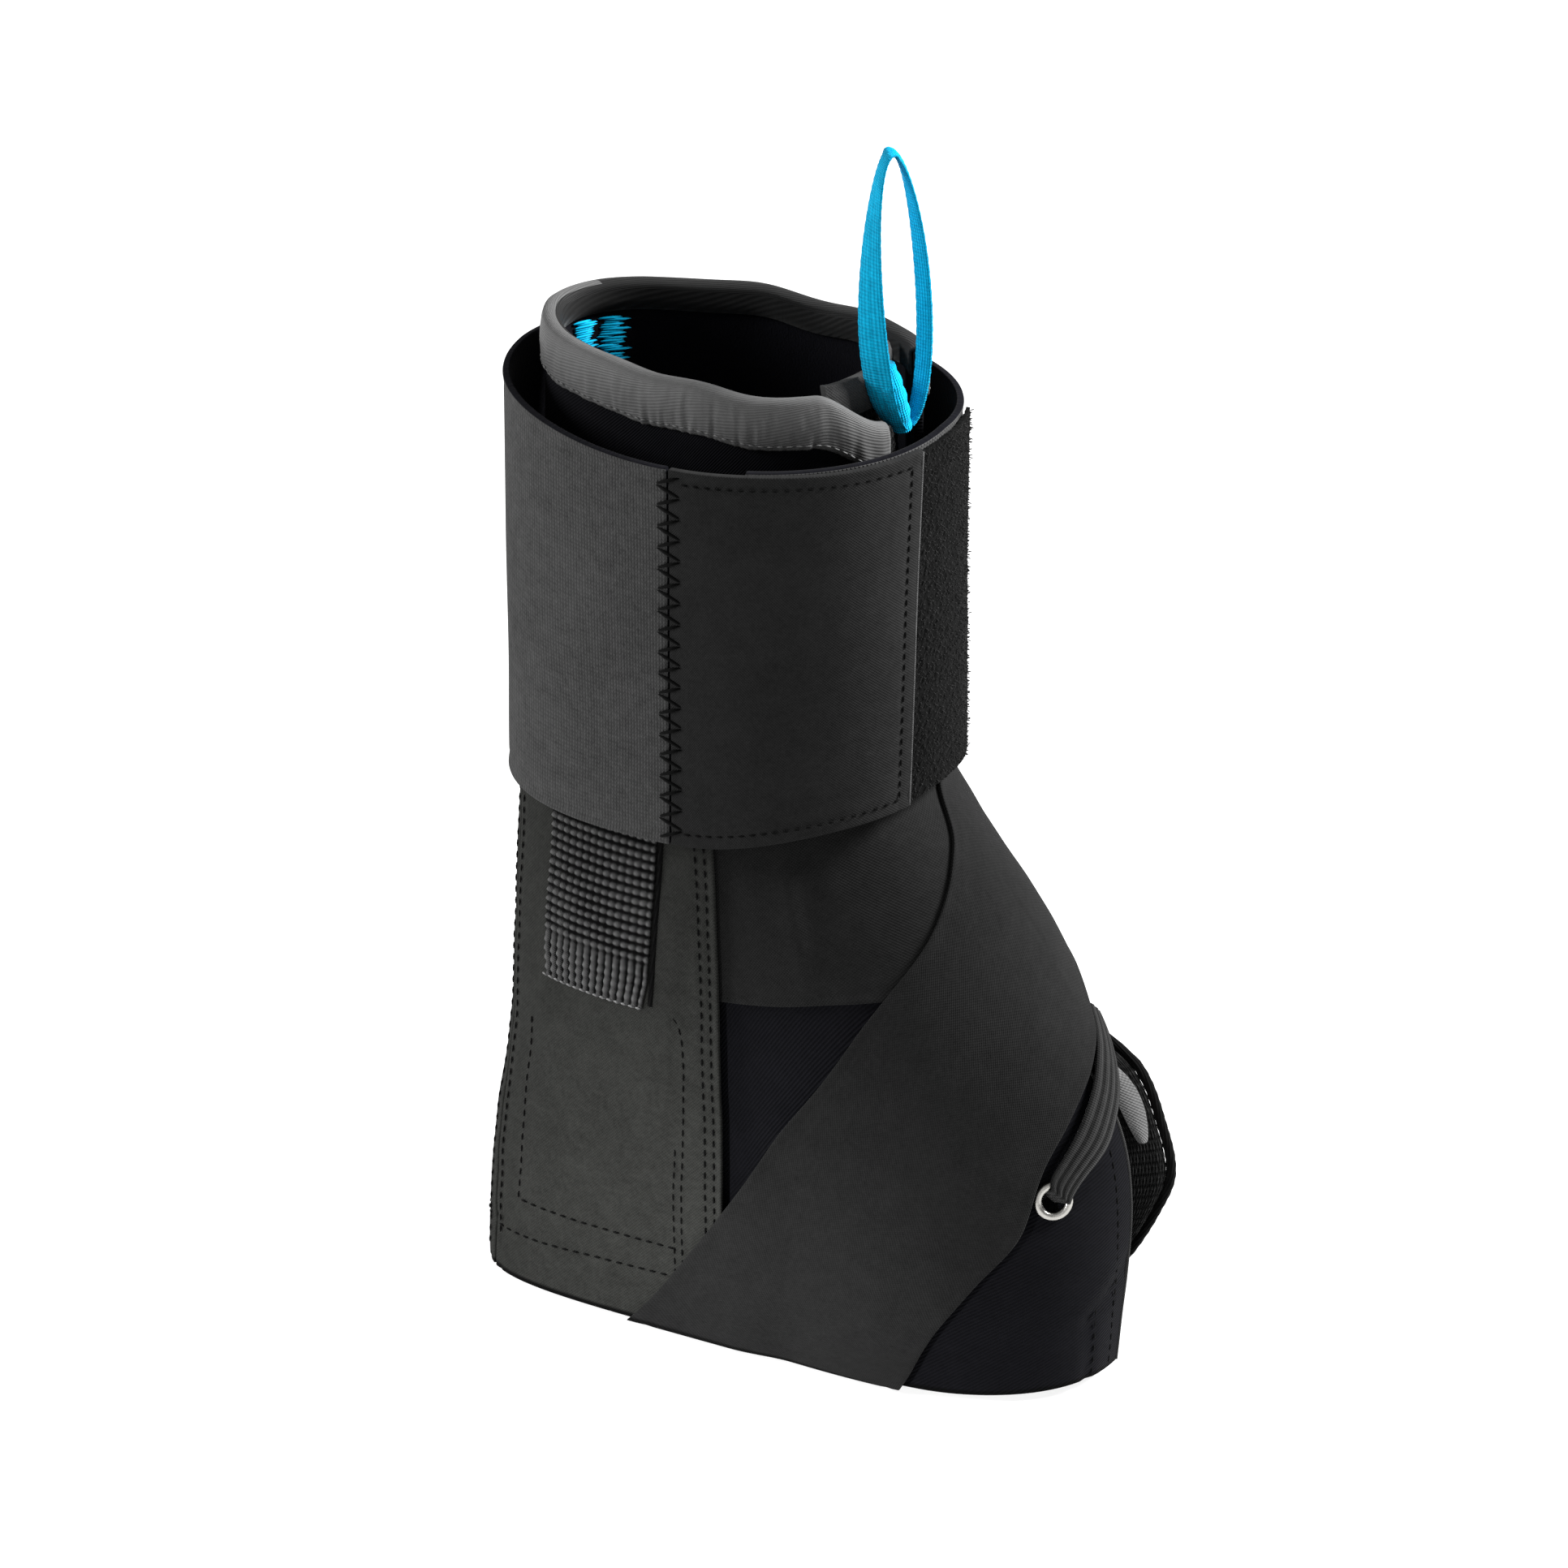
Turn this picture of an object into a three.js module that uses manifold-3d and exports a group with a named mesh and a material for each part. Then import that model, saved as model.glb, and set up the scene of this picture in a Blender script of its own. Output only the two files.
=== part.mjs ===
// Lace-up ankle brace with figure-of-eight straps, standing empty on its sole.
// Millimetres. +X points to the toe, +Y to the far (medial) side, +Z up, the floor is at zero,
// and the origin is on the floor below the middle of the leg.
import * as THREE from "three";
import Module from "manifold-3d";
import { mergeVertices } from "three/addons/utils/BufferGeometryUtils.js";

const wasm = await Module();
wasm.setup();

// Size of the boot
const BOOT_HEIGHT = 244;
const HEEL_REACH = 55.5;
const TOE_REACH = 105;
const HALF_WIDTH = 39;
const SOLE_FRONT = 72;
const TOE_LEAN = 7;
const TOE_RIM_RISE = 3;
const COLLAR_DIP = 4;
const COLLAR_SIDE_DIP = 1.6;
const FLAP_DROP = 9;

// Where the boot's forms start and end: turns in degrees from the toe, the others shares of its height
// or, for the lean, of its reach
const TOE_RIM_TURN = 48;
const FLAP_TURN = 40;
const FLAP_RUN = 28;
const LEAN_TOP = 0.455;
const LEAN_START = 0.2;
const BEND_SHARE = 0.57;
const BEND_RUN = 0.06;

// Cloth thicknesses
const BOOT_WALL = 2.2;
const SOLE_THICKNESS = 2.2;
const STRAP_THICKNESS = 1.0;
const PANEL_THICKNESS = 1.2;
const WEBBING_THICKNESS = 1.0;
const CUFF_WALL = 1.8;
const TAB_THICKNESS = 1.8;
const PILE_THICKNESS = 1.3;
const TONGUE_THICKNESS = 3.0;
const BINDING_THICKNESS = 0.8;
const LACE_THICKNESS = 1.0;
const CLEARANCE = 0.4;
const SEAM_GAP = 0.4;

// How far each strap stands off the bend of the instep, and how it steps down beside a side panel
const MEDIAL_BRIDGE = 0.6;
const LATERAL_BRIDGE = 0.9;
const STEP_START = 3;
const STEP_RUN = 14;

// Side panels, webbing and heel strip
const PANEL_FRONT = 17.5;
const PANEL_FRONT_LEAN = 9;
const PANEL_TUCK = 19;
const PANEL_HEM = 0.6;
const HEEL_WRAP = 9.5;
const HEEL_SEAM_TURN = 0.5;
const WEBBING_REAR = 31.5;
const WEBBING_WIDTH = 28;
const WEBBING_BOTTOM = 84;

// Cuff: its ease round what it wraps, its height and slopes, and the turns of its tab and ends
const CUFF_BACK_EASE = 1.8;
const CUFF_SIDE_EASE = 0.4;
const CUFF_HEIGHT = 97;
const CUFF_BELOW_BEND = 8;
const CUFF_FRONT_RISE = 10;
const CUFF_BACK_DROP = 4;
const CUFF_TOP_RISE = 1;
const CUFF_SAG = 2;
const CUFF_FORM = 2.15;
const CUFF_TAB_SEAM = -87;
const CUFF_TAB_END = -13;
const CUFF_TAB_SLANT = 4;
const CUFF_UNDERLAP = -62;
const CUFF_TUCK_GAP = 0.7;
const CUFF_TUCK_RUN = 70;
const CUFF_SEAM_TURN = 0.6;
const PILE_END = 16;
const PILE_INSET = 0.01;
const PILE_SET_BACK = 0.5;
const PILE_GAP_TURN = 0.8;

// Collar binding and tongue
const BINDING_DROP = 11;
const BINDING_INSIDE = 6;
const TONGUE_DROP = 4;
const TONGUE_HALF_ANGLE = 32;
const TONGUE_HOLLOW = 5;
const TONGUE_HOLLOW_START = 0.7;
const TONGUE_EXIT = 0.3;
const TONGUE_EXIT_RUN = 0.1;
const TONGUE_EDGE = 1.2;
const TONGUE_EDGE_TOP = 0.33;

// Pull loop
const LOOP_HEIGHT = 69;
const LOOP_WIDTH = 18;
const LOOP_LEAN = 3.7;
const LOOP_TAPER = 0.25;
const LOOP_FOOT_DROP = 18;
const LOOP_SEAT = 0.56;
const LOOP_HEADING = 62;
const LOOP_STANDOFF = 1;
const LOOP_START = 0.03;
const RIBBON_WIDTH = 8;
const RIBBON_THICKNESS = 1.2;

// Eyelets and lace; the far eyelet's angle is measured from the far edge of the opening
const EYELET_OUTER = 4.7;
const EYELET_HOLE = 2.7;
const EYELET_RISE = 1.1;
const EYELET_HEIGHT = 51;
const EYELET_ANGLE = 16;
const FAR_EYELET_ANGLE = 8;
const LACE_WIDTH = 8;
const LACE_SKEW_TURN = 0.45;
const LACE_SKEW_HEIGHT = 0.7;

// Webbing loop on the tongue's end: its ends by share of BOOT_HEIGHT, its middle and width by share
// of the tongue's width, and its waist by share of its own width
const LACE_LOOP = { low: 0.235, high: 0.32, middle: 0.6, width: 0.55, waist: 0.35, fullness: 0.7 };
const LACE_LOOP_FACING = { x: 0.6, y: -0.8 };

// Steps round the boot wall, which its binding follows
const WALL_STEPS = 46;

// Sections of the boot, as shares: height of BOOT_HEIGHT, back of HEEL_REACH, front and mid of
// TOE_REACH, half of HALF_WIDTH. The last three are the powers of the heel's corners, the near and
// the far side of the toe: 2 is round, more is square and less is pointed.
const BOOT_SECTIONS = [
  { height: 0.0, back: 0.972, front: 0.981, half: 1.0, mid: 0.324, heel: 6.0, toe: 2.3, far: 1.4 },
  { height: 0.057, back: 1.0, front: 0.99, half: 1.0, mid: 0.305, heel: 5.0, toe: 2.3, far: 1.4 },
  { height: 0.164, back: 0.982, front: 1.0, half: 1.0, mid: 0.248, heel: 4.0, toe: 2.2, far: 1.45 },
  { height: 0.254, back: 0.963, front: 0.971, half: 0.974, mid: 0.171, heel: 3.1, toe: 2.0, far: 1.6 },
  { height: 0.328, back: 0.954, front: 0.881, half: 0.949, mid: 0.114, heel: 2.9, toe: 2.0, far: 1.8 },
  { height: 0.43, back: 0.95, front: 0.72, half: 0.897, mid: 0.057, heel: 2.7, toe: 1.9, far: 1.9 },
  { height: 0.525, back: 0.95, front: 0.54, half: 0.82, mid: 0.02, heel: 2.5, toe: 1.9, far: 1.9 },
  { height: 0.578, back: 0.945, front: 0.434, half: 0.8, mid: 0.01, heel: 2.4, toe: 2.0, far: 2.0 },
  { height: 0.78, back: 0.927, front: 0.41, half: 0.77, mid: 0.02, heel: 2.1, toe: 2.1, far: 2.1 },
  { height: 1.0, back: 0.917, front: 0.405, half: 0.72, mid: 0.04, heel: 1.9, toe: 2.0, far: 2.0 },
];

// Edges of the front opening, in degrees from the toe, by share of BOOT_HEIGHT
const THROAT = [
  { height: 0.0, near: -1, far: 13 },
  { height: 0.27, near: -1, far: 13 },
  { height: 0.4, near: -8, far: 14 },
  { height: 0.55, near: -13, far: 16 },
  { height: 1.0, near: -14, far: 17 },
];

// Edges of the two straps, in degrees from the toe and shares of BOOT_HEIGHT
const LATERAL_ROUTE = [
  { upperTurn: -135, upperHeight: 0.002, lowerTurn: -54, lowerHeight: 0.002 },
  { upperTurn: -122, upperHeight: 0.074, lowerTurn: -51, lowerHeight: 0.02 },
  { upperTurn: -103, upperHeight: 0.152, lowerTurn: -45, lowerHeight: 0.061 },
  { upperTurn: -78, upperHeight: 0.234, lowerTurn: -34, lowerHeight: 0.123 },
  { upperTurn: -55, upperHeight: 0.307, lowerTurn: -24, lowerHeight: 0.18 },
  { upperTurn: -37, upperHeight: 0.385, lowerTurn: -17, lowerHeight: 0.246 },
  { upperTurn: -21, upperHeight: 0.455, lowerTurn: -9, lowerHeight: 0.299 },
  { upperTurn: -8, upperHeight: 0.52, lowerTurn: 0, lowerHeight: 0.344 },
  { upperTurn: 2, upperHeight: 0.572, lowerTurn: 9, lowerHeight: 0.385 },
  { upperTurn: 18, upperHeight: 0.59, lowerTurn: 24, lowerHeight: 0.393 },
  { upperTurn: 40, upperHeight: 0.58, lowerTurn: 45, lowerHeight: 0.381 },
  { upperTurn: 70, upperHeight: 0.566, lowerTurn: 68, lowerHeight: 0.373 },
  { upperTurn: 98, upperHeight: 0.561, lowerTurn: 98, lowerHeight: 0.365 },
];
const MEDIAL_ROUTE = [
  { upperTurn: 135, upperHeight: 0.002, lowerTurn: 56, lowerHeight: 0.002 },
  { upperTurn: 122, upperHeight: 0.074, lowerTurn: 53, lowerHeight: 0.02 },
  { upperTurn: 103, upperHeight: 0.152, lowerTurn: 48, lowerHeight: 0.061 },
  { upperTurn: 80, upperHeight: 0.234, lowerTurn: 41, lowerHeight: 0.115 },
  { upperTurn: 60, upperHeight: 0.307, lowerTurn: 35, lowerHeight: 0.18 },
  { upperTurn: 46, upperHeight: 0.385, lowerTurn: 29, lowerHeight: 0.246 },
  { upperTurn: 34, upperHeight: 0.455, lowerTurn: 21, lowerHeight: 0.303 },
  { upperTurn: 21, upperHeight: 0.525, lowerTurn: 12, lowerHeight: 0.361 },
  { upperTurn: 6, upperHeight: 0.574, lowerTurn: -1, lowerHeight: 0.398 },
  { upperTurn: -12, upperHeight: 0.59, lowerTurn: -18, lowerHeight: 0.402 },
  { upperTurn: -40, upperHeight: 0.58, lowerTurn: -42, lowerHeight: 0.387 },
  { upperTurn: -70, upperHeight: 0.566, lowerTurn: -66, lowerHeight: 0.373 },
  { upperTurn: -96, upperHeight: 0.561, lowerTurn: -94, lowerHeight: 0.365 },
];

// Lower end of the tongue, which leans out of the opening: height by share of BOOT_HEIGHT, the
// reach of its near and far edge by share of TOE_REACH, and their side by share of HALF_WIDTH
const TONGUE_END = [
  { height: 0.09, nearReach: 0.9, nearSide: -0.09, farReach: 0.925, farSide: -0.03 },
  { height: 0.115, nearReach: 0.92, nearSide: -0.07, farReach: 0.965, farSide: 0.01 },
  { height: 0.15, nearReach: 0.94, nearSide: -0.06, farReach: 1.005, farSide: 0.09 },
  { height: 0.193, nearReach: 0.95, nearSide: -0.05, farReach: 1.035, farSide: 0.14 },
  { height: 0.246, nearReach: 0.94, nearSide: -0.05, farReach: 1.01, farSide: 0.14 },
  { height: 0.3, nearReach: 0.88, nearSide: -0.08, farReach: 0.955, farSide: 0.13 },
  { height: 0.34, nearReach: 0.8, nearSide: -0.12, farReach: 0.85, farSide: 0.13 },
  { height: 0.4, nearReach: 0.69, nearSide: -0.2, farReach: 0.72, farSide: 0.15 },
];

// Offsets of the layers, outwards from the boot's own surface
const UNDER_LAYER = CLEARANCE;
const OVER_LAYER = UNDER_LAYER + STRAP_THICKNESS + CLEARANCE;
const TOP_LAYER = OVER_LAYER + PANEL_THICKNESS + CLEARANCE;

// Heights that follow the boot's
const CUFF_BASE = BOOT_HEIGHT * BEND_SHARE - CUFF_BELOW_BEND;
const PANEL_TOP = CUFF_BASE + PANEL_TUCK;
const TONGUE_TOP = BOOT_HEIGHT - TONGUE_DROP;
const TONGUE_BOTTOM = BOOT_HEIGHT * TONGUE_END[0].height;
const LOOP_FOOT = BOOT_HEIGHT - LOOP_FOOT_DROP;

// The cuff goes round the boot and what lies on it, and its own tucked end
const CUFF_TUCK = Math.max(TAB_THICKNESS, PILE_SET_BACK + PILE_THICKNESS) + CUFF_TUCK_GAP;
const CUFF_FRONT_STACK = OVER_LAYER + STRAP_THICKNESS + LATERAL_BRIDGE + CLEARANCE + CUFF_TUCK + CUFF_WALL;
const CUFF_BACK_STACK = OVER_LAYER + PANEL_THICKNESS + CUFF_BACK_EASE + CUFF_WALL;
const CUFF_SIDE_STACK = TOP_LAYER + WEBBING_THICKNESS + CUFF_SIDE_EASE + CUFF_TUCK + CUFF_WALL;
const CUFF_FRONT = bootSection(CUFF_BASE + CUFF_FRONT_RISE).front + CUFF_FRONT_STACK;
const CUFF_BACK = bootSection(CUFF_BASE).back + CUFF_BACK_STACK;
const CUFF_HALF_WIDTH = bootSection(CUFF_BASE).half + CUFF_SIDE_STACK;

const lerp = (a, b, t) => a + (b - a) * t;
const signedTurn = (degrees) => ((degrees + 540) % 360) - 180;
const radians = (degrees) => (degrees * Math.PI) / 180;

function smooth(t) {
  const x = Math.min(1, Math.max(0, t));
  return x * x * (3 - 2 * x);
}

// Value of a table's column at a position, on a smooth curve through its rows
function column(rows, key, name, at) {
  const last = rows.length - 1;
  const x = Math.min(Math.max(at, rows[0][key]), rows[last][key]);
  let i = 0;
  while (i < last - 1 && rows[i + 1][key] <= x) {
    i += 1;
  }
  const slope = (k) => {
    const a = rows[Math.max(0, k - 1)];
    const b = rows[Math.min(last, k + 1)];
    return (b[name] - a[name]) / (b[key] - a[key]);
  };
  const span = rows[i + 1][key] - rows[i][key];
  const t = (x - rows[i][key]) / span;
  const t2 = t * t;
  const t3 = t2 * t;
  return (
    (2 * t3 - 3 * t2 + 1) * rows[i][name] +
    (t3 - 2 * t2 + t) * span * slope(i) +
    (3 * t2 - 2 * t3) * rows[i + 1][name] +
    (t3 - t2) * span * slope(i + 1)
  );
}

// Radius of a rounded corner with two reaches and a power
function cornerRadius(turn, reach, side, form) {
  const c = Math.abs(Math.cos(turn)) / reach;
  const s = Math.abs(Math.sin(turn)) / side;
  return (c ** form + s ** form) ** (-1 / form);
}

// Measures of the boot's section at a height
function bootSection(height) {
  const share = height / BOOT_HEIGHT;
  const at = (name) => column(BOOT_SECTIONS, "height", name, share);
  return {
    back: at("back") * HEEL_REACH,
    front: at("front") * TOE_REACH,
    half: at("half") * HALF_WIDTH,
    mid: at("mid") * TOE_REACH,
    heel: at("heel"),
    toe: at("toe"),
    far: at("far"),
  };
}

// Point of the boot's outer surface, moved outwards by an offset; the turn is in degrees from the toe
function bootPoint(degrees, height, offset) {
  const turn = radians(degrees);
  const s = bootSection(height);
  const ahead = Math.cos(turn) >= 0;
  const reach = ahead ? s.front - s.mid : s.back + s.mid;
  const sideForm = Math.sin(turn) > 0 ? s.far : s.toe;
  const radius = cornerRadius(turn, reach + offset, s.half + offset, ahead ? sideForm : s.heel);
  const x = s.mid + radius * Math.cos(turn);
  const low = Math.max(0, 1 - height / (BOOT_HEIGHT * LEAN_TOP));
  const lean = TOE_LEAN * low * Math.max(0, (x / TOE_REACH - LEAN_START) / (1 - LEAN_START)) ** 2;
  return new THREE.Vector3(x, radius * Math.sin(turn) - lean, height);
}

// Turn at which the surface behind or beside the middle passes a given X, on the near side
function turnAtX(x, height) {
  const s = bootSection(height);
  const ahead = x >= s.mid;
  const reach = ahead ? s.front - s.mid : s.back + s.mid;
  const form = ahead ? s.toe : s.heel;
  const share = Math.min(1, Math.abs(x - s.mid) / reach);
  const y = s.half * (1 - share ** form) ** (1 / form);
  return (Math.atan2(-y, x - s.mid) * 180) / Math.PI;
}

// Closed body from points and triangles, its faces turned outwards
function closedBody(points, triangles) {
  let volume = 0;
  for (const [a, b, c] of triangles) {
    volume += points[a].dot(new THREE.Vector3().crossVectors(points[b], points[c]));
  }
  const index = triangles.flatMap(([a, b, c]) => (volume < 0 ? [a, c, b] : [a, b, c]));
  const geometry = new THREE.BufferGeometry();
  geometry.setAttribute("position", new THREE.Float32BufferAttribute(points.flatMap((p) => p.toArray()), 3));
  geometry.setIndex(index);
  return geometry;
}

// Sheet of cloth with a thickness: place(u, v, side) gives its inner (0) and outer (1) face
function clothBody({ along, across, place, ring = false }) {
  const columns = ring ? along : along + 1;
  const points = [];
  for (let side = 0; side < 2; side += 1) {
    for (let i = 0; i < columns; i += 1) {
      for (let j = 0; j <= across; j += 1) {
        points.push(place(i / along, j / across, side));
      }
    }
  }
  const at = (side, i, j) => (side * columns + (i % columns)) * (across + 1) + j;
  const triangles = [];
  const quad = (a, b, c, d) => triangles.push([a, b, c], [a, c, d]);
  for (let i = 0; i < along; i += 1) {
    for (let j = 0; j < across; j += 1) {
      quad(at(0, i, j), at(0, i, j + 1), at(0, i + 1, j + 1), at(0, i + 1, j));
      quad(at(1, i, j), at(1, i + 1, j), at(1, i + 1, j + 1), at(1, i, j + 1));
    }
    quad(at(0, i, 0), at(0, i + 1, 0), at(1, i + 1, 0), at(1, i, 0));
    quad(at(0, i, across), at(1, i, across), at(1, i + 1, across), at(0, i + 1, across));
  }
  for (let j = 0; j < across && !ring; j += 1) {
    quad(at(0, 0, j), at(1, 0, j), at(1, 0, j + 1), at(0, 0, j + 1));
    quad(at(0, along, j), at(0, along, j + 1), at(1, along, j + 1), at(1, along, j));
  }
  return closedBody(points, triangles);
}

// Tube of a round section along a curve, with closed ends
function tubeBody(curve, radius, steps, sides) {
  const section = new THREE.Shape();
  for (let i = 0; i < sides; i += 1) {
    const a = (i / sides) * 2 * Math.PI;
    const x = radius * Math.cos(a);
    const y = radius * Math.sin(a);
    i === 0 ? section.moveTo(x, y) : section.lineTo(x, y);
  }
  section.closePath();
  return new THREE.ExtrudeGeometry(section, { steps, extrudePath: curve, bevelEnabled: false });
}

// Edges of the front opening and of the collar
const throat = (name, height) => column(THROAT, "height", name, height / BOOT_HEIGHT);

function collarHeight(degrees) {
  const near = Math.max(0, -Math.sin(radians(degrees)));
  const flapEnd = degrees < 0 ? smooth((FLAP_TURN + degrees) / FLAP_RUN) : 0;
  return BOOT_HEIGHT - COLLAR_DIP - COLLAR_SIDE_DIP * near - FLAP_DROP * flapEnd;
}

// Height of the hem at the floor, which lifts a little round the toe opening
const hemHeight = (degrees) => TOE_RIM_RISE * smooth(1 - Math.abs(degrees) / TOE_RIM_TURN);

// Turn of a point of the boot wall, from the near edge of the opening round the heel to the far edge
function wallTurn(u, height) {
  return lerp(throat("near", height), throat("far", height) - 360, u);
}

// Rows of the boot wall, closest where the instep bends, as shares of the height
const WALL_ROWS = [
  0, 0.06, 0.12, 0.175, 0.225, 0.27, 0.32, 0.37, 0.42, 0.465, 0.505, 0.535, 0.56, 0.585, 0.62, 0.7, 0.84, 1,
];

function bootGeometry() {
  return clothBody({
    along: WALL_STEPS,
    across: WALL_ROWS.length - 1,
    place: (u, v, side) => {
      const share = WALL_ROWS[Math.round(v * (WALL_ROWS.length - 1))];
      const signed = signedTurn(wallTurn(u, share * BOOT_HEIGHT));
      const height = lerp(hemHeight(signed), collarHeight(signed), share);
      return bootPoint(wallTurn(u, height), height, side ? 0 : -BOOT_WALL);
    },
  });
}

// Round hole through the wall at an eyelet
function withHoles(geometry, holes) {
  const toSolid = (source) => {
    const bare = source.clone();
    bare.deleteAttribute("normal");
    bare.deleteAttribute("uv");
    const merged = mergeVertices(bare, 1e-5);
    return new wasm.Manifold(
      new wasm.Mesh({
        numProp: 3,
        vertProperties: new Float32Array(merged.attributes.position.array),
        triVerts: new Uint32Array(merged.index.array),
      }),
    );
  };
  let solid = toSolid(geometry);
  for (const hole of holes) {
    solid = solid.subtract(toSolid(hole));
  }
  const mesh = solid.getMesh();
  const result = new THREE.BufferGeometry();
  result.setAttribute("position", new THREE.Float32BufferAttribute(mesh.vertProperties, 3));
  result.setIndex(Array.from(mesh.triVerts));
  return result;
}

// Frame of an eyelet: where it sits and which way it faces
function eyeletSeat(side) {
  const degrees = side < 0 ? -EYELET_ANGLE : FAR_EYELET_ANGLE + throat("far", EYELET_HEIGHT);
  const step = 0.5;
  const centre = bootPoint(degrees, EYELET_HEIGHT, 0);
  const round = bootPoint(degrees + step, EYELET_HEIGHT, 0).sub(bootPoint(degrees - step, EYELET_HEIGHT, 0));
  const rise = bootPoint(degrees, EYELET_HEIGHT + step, 0).sub(bootPoint(degrees, EYELET_HEIGHT - step, 0));
  const facing = round.cross(rise).normalize();
  return { centre, facing };
}

function eyeletGeometry() {
  const rim = EYELET_RISE * 0.3;
  const profile = [
    [EYELET_HOLE, 0],
    [EYELET_OUTER, 0],
    [EYELET_OUTER - rim, EYELET_RISE - rim],
    [EYELET_OUTER - EYELET_RISE, EYELET_RISE],
    [EYELET_HOLE + rim, EYELET_RISE - rim],
    [EYELET_HOLE, 0],
  ].map(([x, y]) => new THREE.Vector2(x, y));
  return new THREE.LatheGeometry(profile, 12);
}

// Sole inside the foot of the walls, cut off straight at the toe opening
function soleGeometry() {
  const outline = [];
  const cornerTurn = Math.atan2(HALF_WIDTH, SOLE_FRONT - bootSection(0).mid) * 0.8;
  for (let i = 0; i <= WALL_STEPS; i += 1) {
    const turn = wallTurn(i / WALL_STEPS, 0);
    if (Math.abs(radians(signedTurn(turn))) > cornerTurn) {
      const point = bootPoint(turn, 0, -BOOT_WALL - SEAM_GAP);
      outline.push(new THREE.Vector2(Math.min(point.x, SOLE_FRONT), point.y));
    }
  }
  return new THREE.ExtrudeGeometry(new THREE.Shape(outline), { depth: SOLE_THICKNESS, bevelEnabled: false });
}

// Panel or strip on the side of the boot, between two X positions that may change with height
function sidePatch({ side, rear, front, bottom, top, offset, thickness, along, across }) {
  return clothBody({
    along,
    across,
    place: (u, v, face) => {
      const height = lerp(bottom, top, v);
      const turn = lerp(turnAtX(rear(height), height), turnAtX(front(height), height), u);
      return bootPoint(-side * turn, height, offset + (face ? thickness : 0));
    },
  });
}

const panelFront = (height) => PANEL_FRONT - PANEL_FRONT_LEAN * (height / CUFF_BASE) ** 2;

function stayPanelGeometry(side) {
  return sidePatch({
    side,
    rear: () => HEEL_WRAP - HEEL_REACH,
    front: panelFront,
    bottom: PANEL_HEM,
    top: PANEL_TOP,
    offset: OVER_LAYER,
    thickness: PANEL_THICKNESS,
    along: 10,
    across: 12,
  });
}

function webbingGeometry(side) {
  return sidePatch({
    side,
    rear: () => -WEBBING_REAR,
    front: () => WEBBING_WIDTH - WEBBING_REAR,
    bottom: WEBBING_BOTTOM,
    top: PANEL_TOP,
    offset: TOP_LAYER,
    thickness: WEBBING_THICKNESS,
    along: 5,
    across: 5,
  });
}

function heelPanelGeometry() {
  return clothBody({
    along: 8,
    across: 9,
    place: (u, v, face) => {
      const height = lerp(PANEL_HEM, PANEL_TOP, v);
      const edge = turnAtX(HEEL_WRAP - HEEL_REACH, height) - HEEL_SEAM_TURN;
      return bootPoint(lerp(edge, -360 - edge, u), height, OVER_LAYER + (face ? PANEL_THICKNESS : 0));
    },
  });
}

// Strap between its two edges; lift(x, y, height) gives its offset from the boot, and bridge how far
// it stands off where the instep bends
function strapGeometry(route, lift, bridge) {
  const rows = route.map((row, i) => ({ step: i, ...row }));
  const place = (u, v, face) => {
    const step = u * (rows.length - 1);
    const at = (name) => column(rows, "step", name, step);
    const turn = lerp(at("lowerTurn"), at("upperTurn"), v);
    const height = lerp(at("lowerHeight"), at("upperHeight"), v) * BOOT_HEIGHT;
    const ground = bootPoint(turn, height, 0);
    const front = Math.max(0, Math.cos(radians(turn)));
    const bend = front * smooth(1 - Math.abs(height / BOOT_HEIGHT - BEND_SHARE) / BEND_RUN);
    const offset = lift(ground.x, ground.y, height) + bridge * bend;
    return bootPoint(turn, height, offset + (face ? STRAP_THICKNESS : 0));
  };
  return clothBody({ along: 34, across: 8, place });
}

// Share of the height below which the medial strap lies over its side panel, and above which under it
const MEDIAL_SPLIT = 0.33;

// How far a point lies over a side panel: 1 on it, 0 clear of its front edge
const overPanel = (x) => 1 - smooth((x - PANEL_FRONT - STEP_START) / STEP_RUN);

function lateralLift(x, y) {
  const onPanel = overPanel(x);
  return y < 0 ? lerp(OVER_LAYER, TOP_LAYER, onPanel) : lerp(OVER_LAYER, UNDER_LAYER, onPanel);
}

function medialLift(x, y, height) {
  const low = height < BOOT_HEIGHT * MEDIAL_SPLIT ? 1 : 0;
  return y > 0 ? lerp(UNDER_LAYER, TOP_LAYER, overPanel(x) * low) : UNDER_LAYER;
}

// Point of the cuff's outer face, round what it wraps
function cuffPoint(degrees, share, offset) {
  const turn = radians(degrees);
  const reach = Math.cos(turn) >= 0 ? CUFF_FRONT : CUFF_BACK;
  const radius = cornerRadius(turn, reach + offset, CUFF_HALF_WIDTH + offset, CUFF_FORM);
  const end = Math.cos(turn) ** 2;
  const near = Math.max(0, -Math.sin(turn));
  const base = CUFF_BASE + end * (Math.cos(turn) > 0 ? CUFF_FRONT_RISE : -CUFF_BACK_DROP) - CUFF_SAG * near;
  const top = CUFF_BASE + CUFF_HEIGHT + CUFF_TOP_RISE * end - 2 * CUFF_SAG * near;
  return new THREE.Vector3(radius * Math.cos(turn), radius * Math.sin(turn), lerp(base, top, share));
}

// Elastic, which starts under the tab, runs round the leg and ends at the zigzag seam
function cuffGeometry() {
  return clothBody({
    along: 72,
    across: 2,
    place: (u, v, face) => {
      const degrees = lerp(CUFF_UNDERLAP, CUFF_TAB_SEAM + 360 - CUFF_SEAM_TURN, u);
      const tucked = 1 - smooth((degrees - PILE_END) / CUFF_TUCK_RUN);
      return cuffPoint(degrees, v, -tucked * CUFF_TUCK - (face ? 0 : CUFF_WALL));
    },
  });
}

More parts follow.
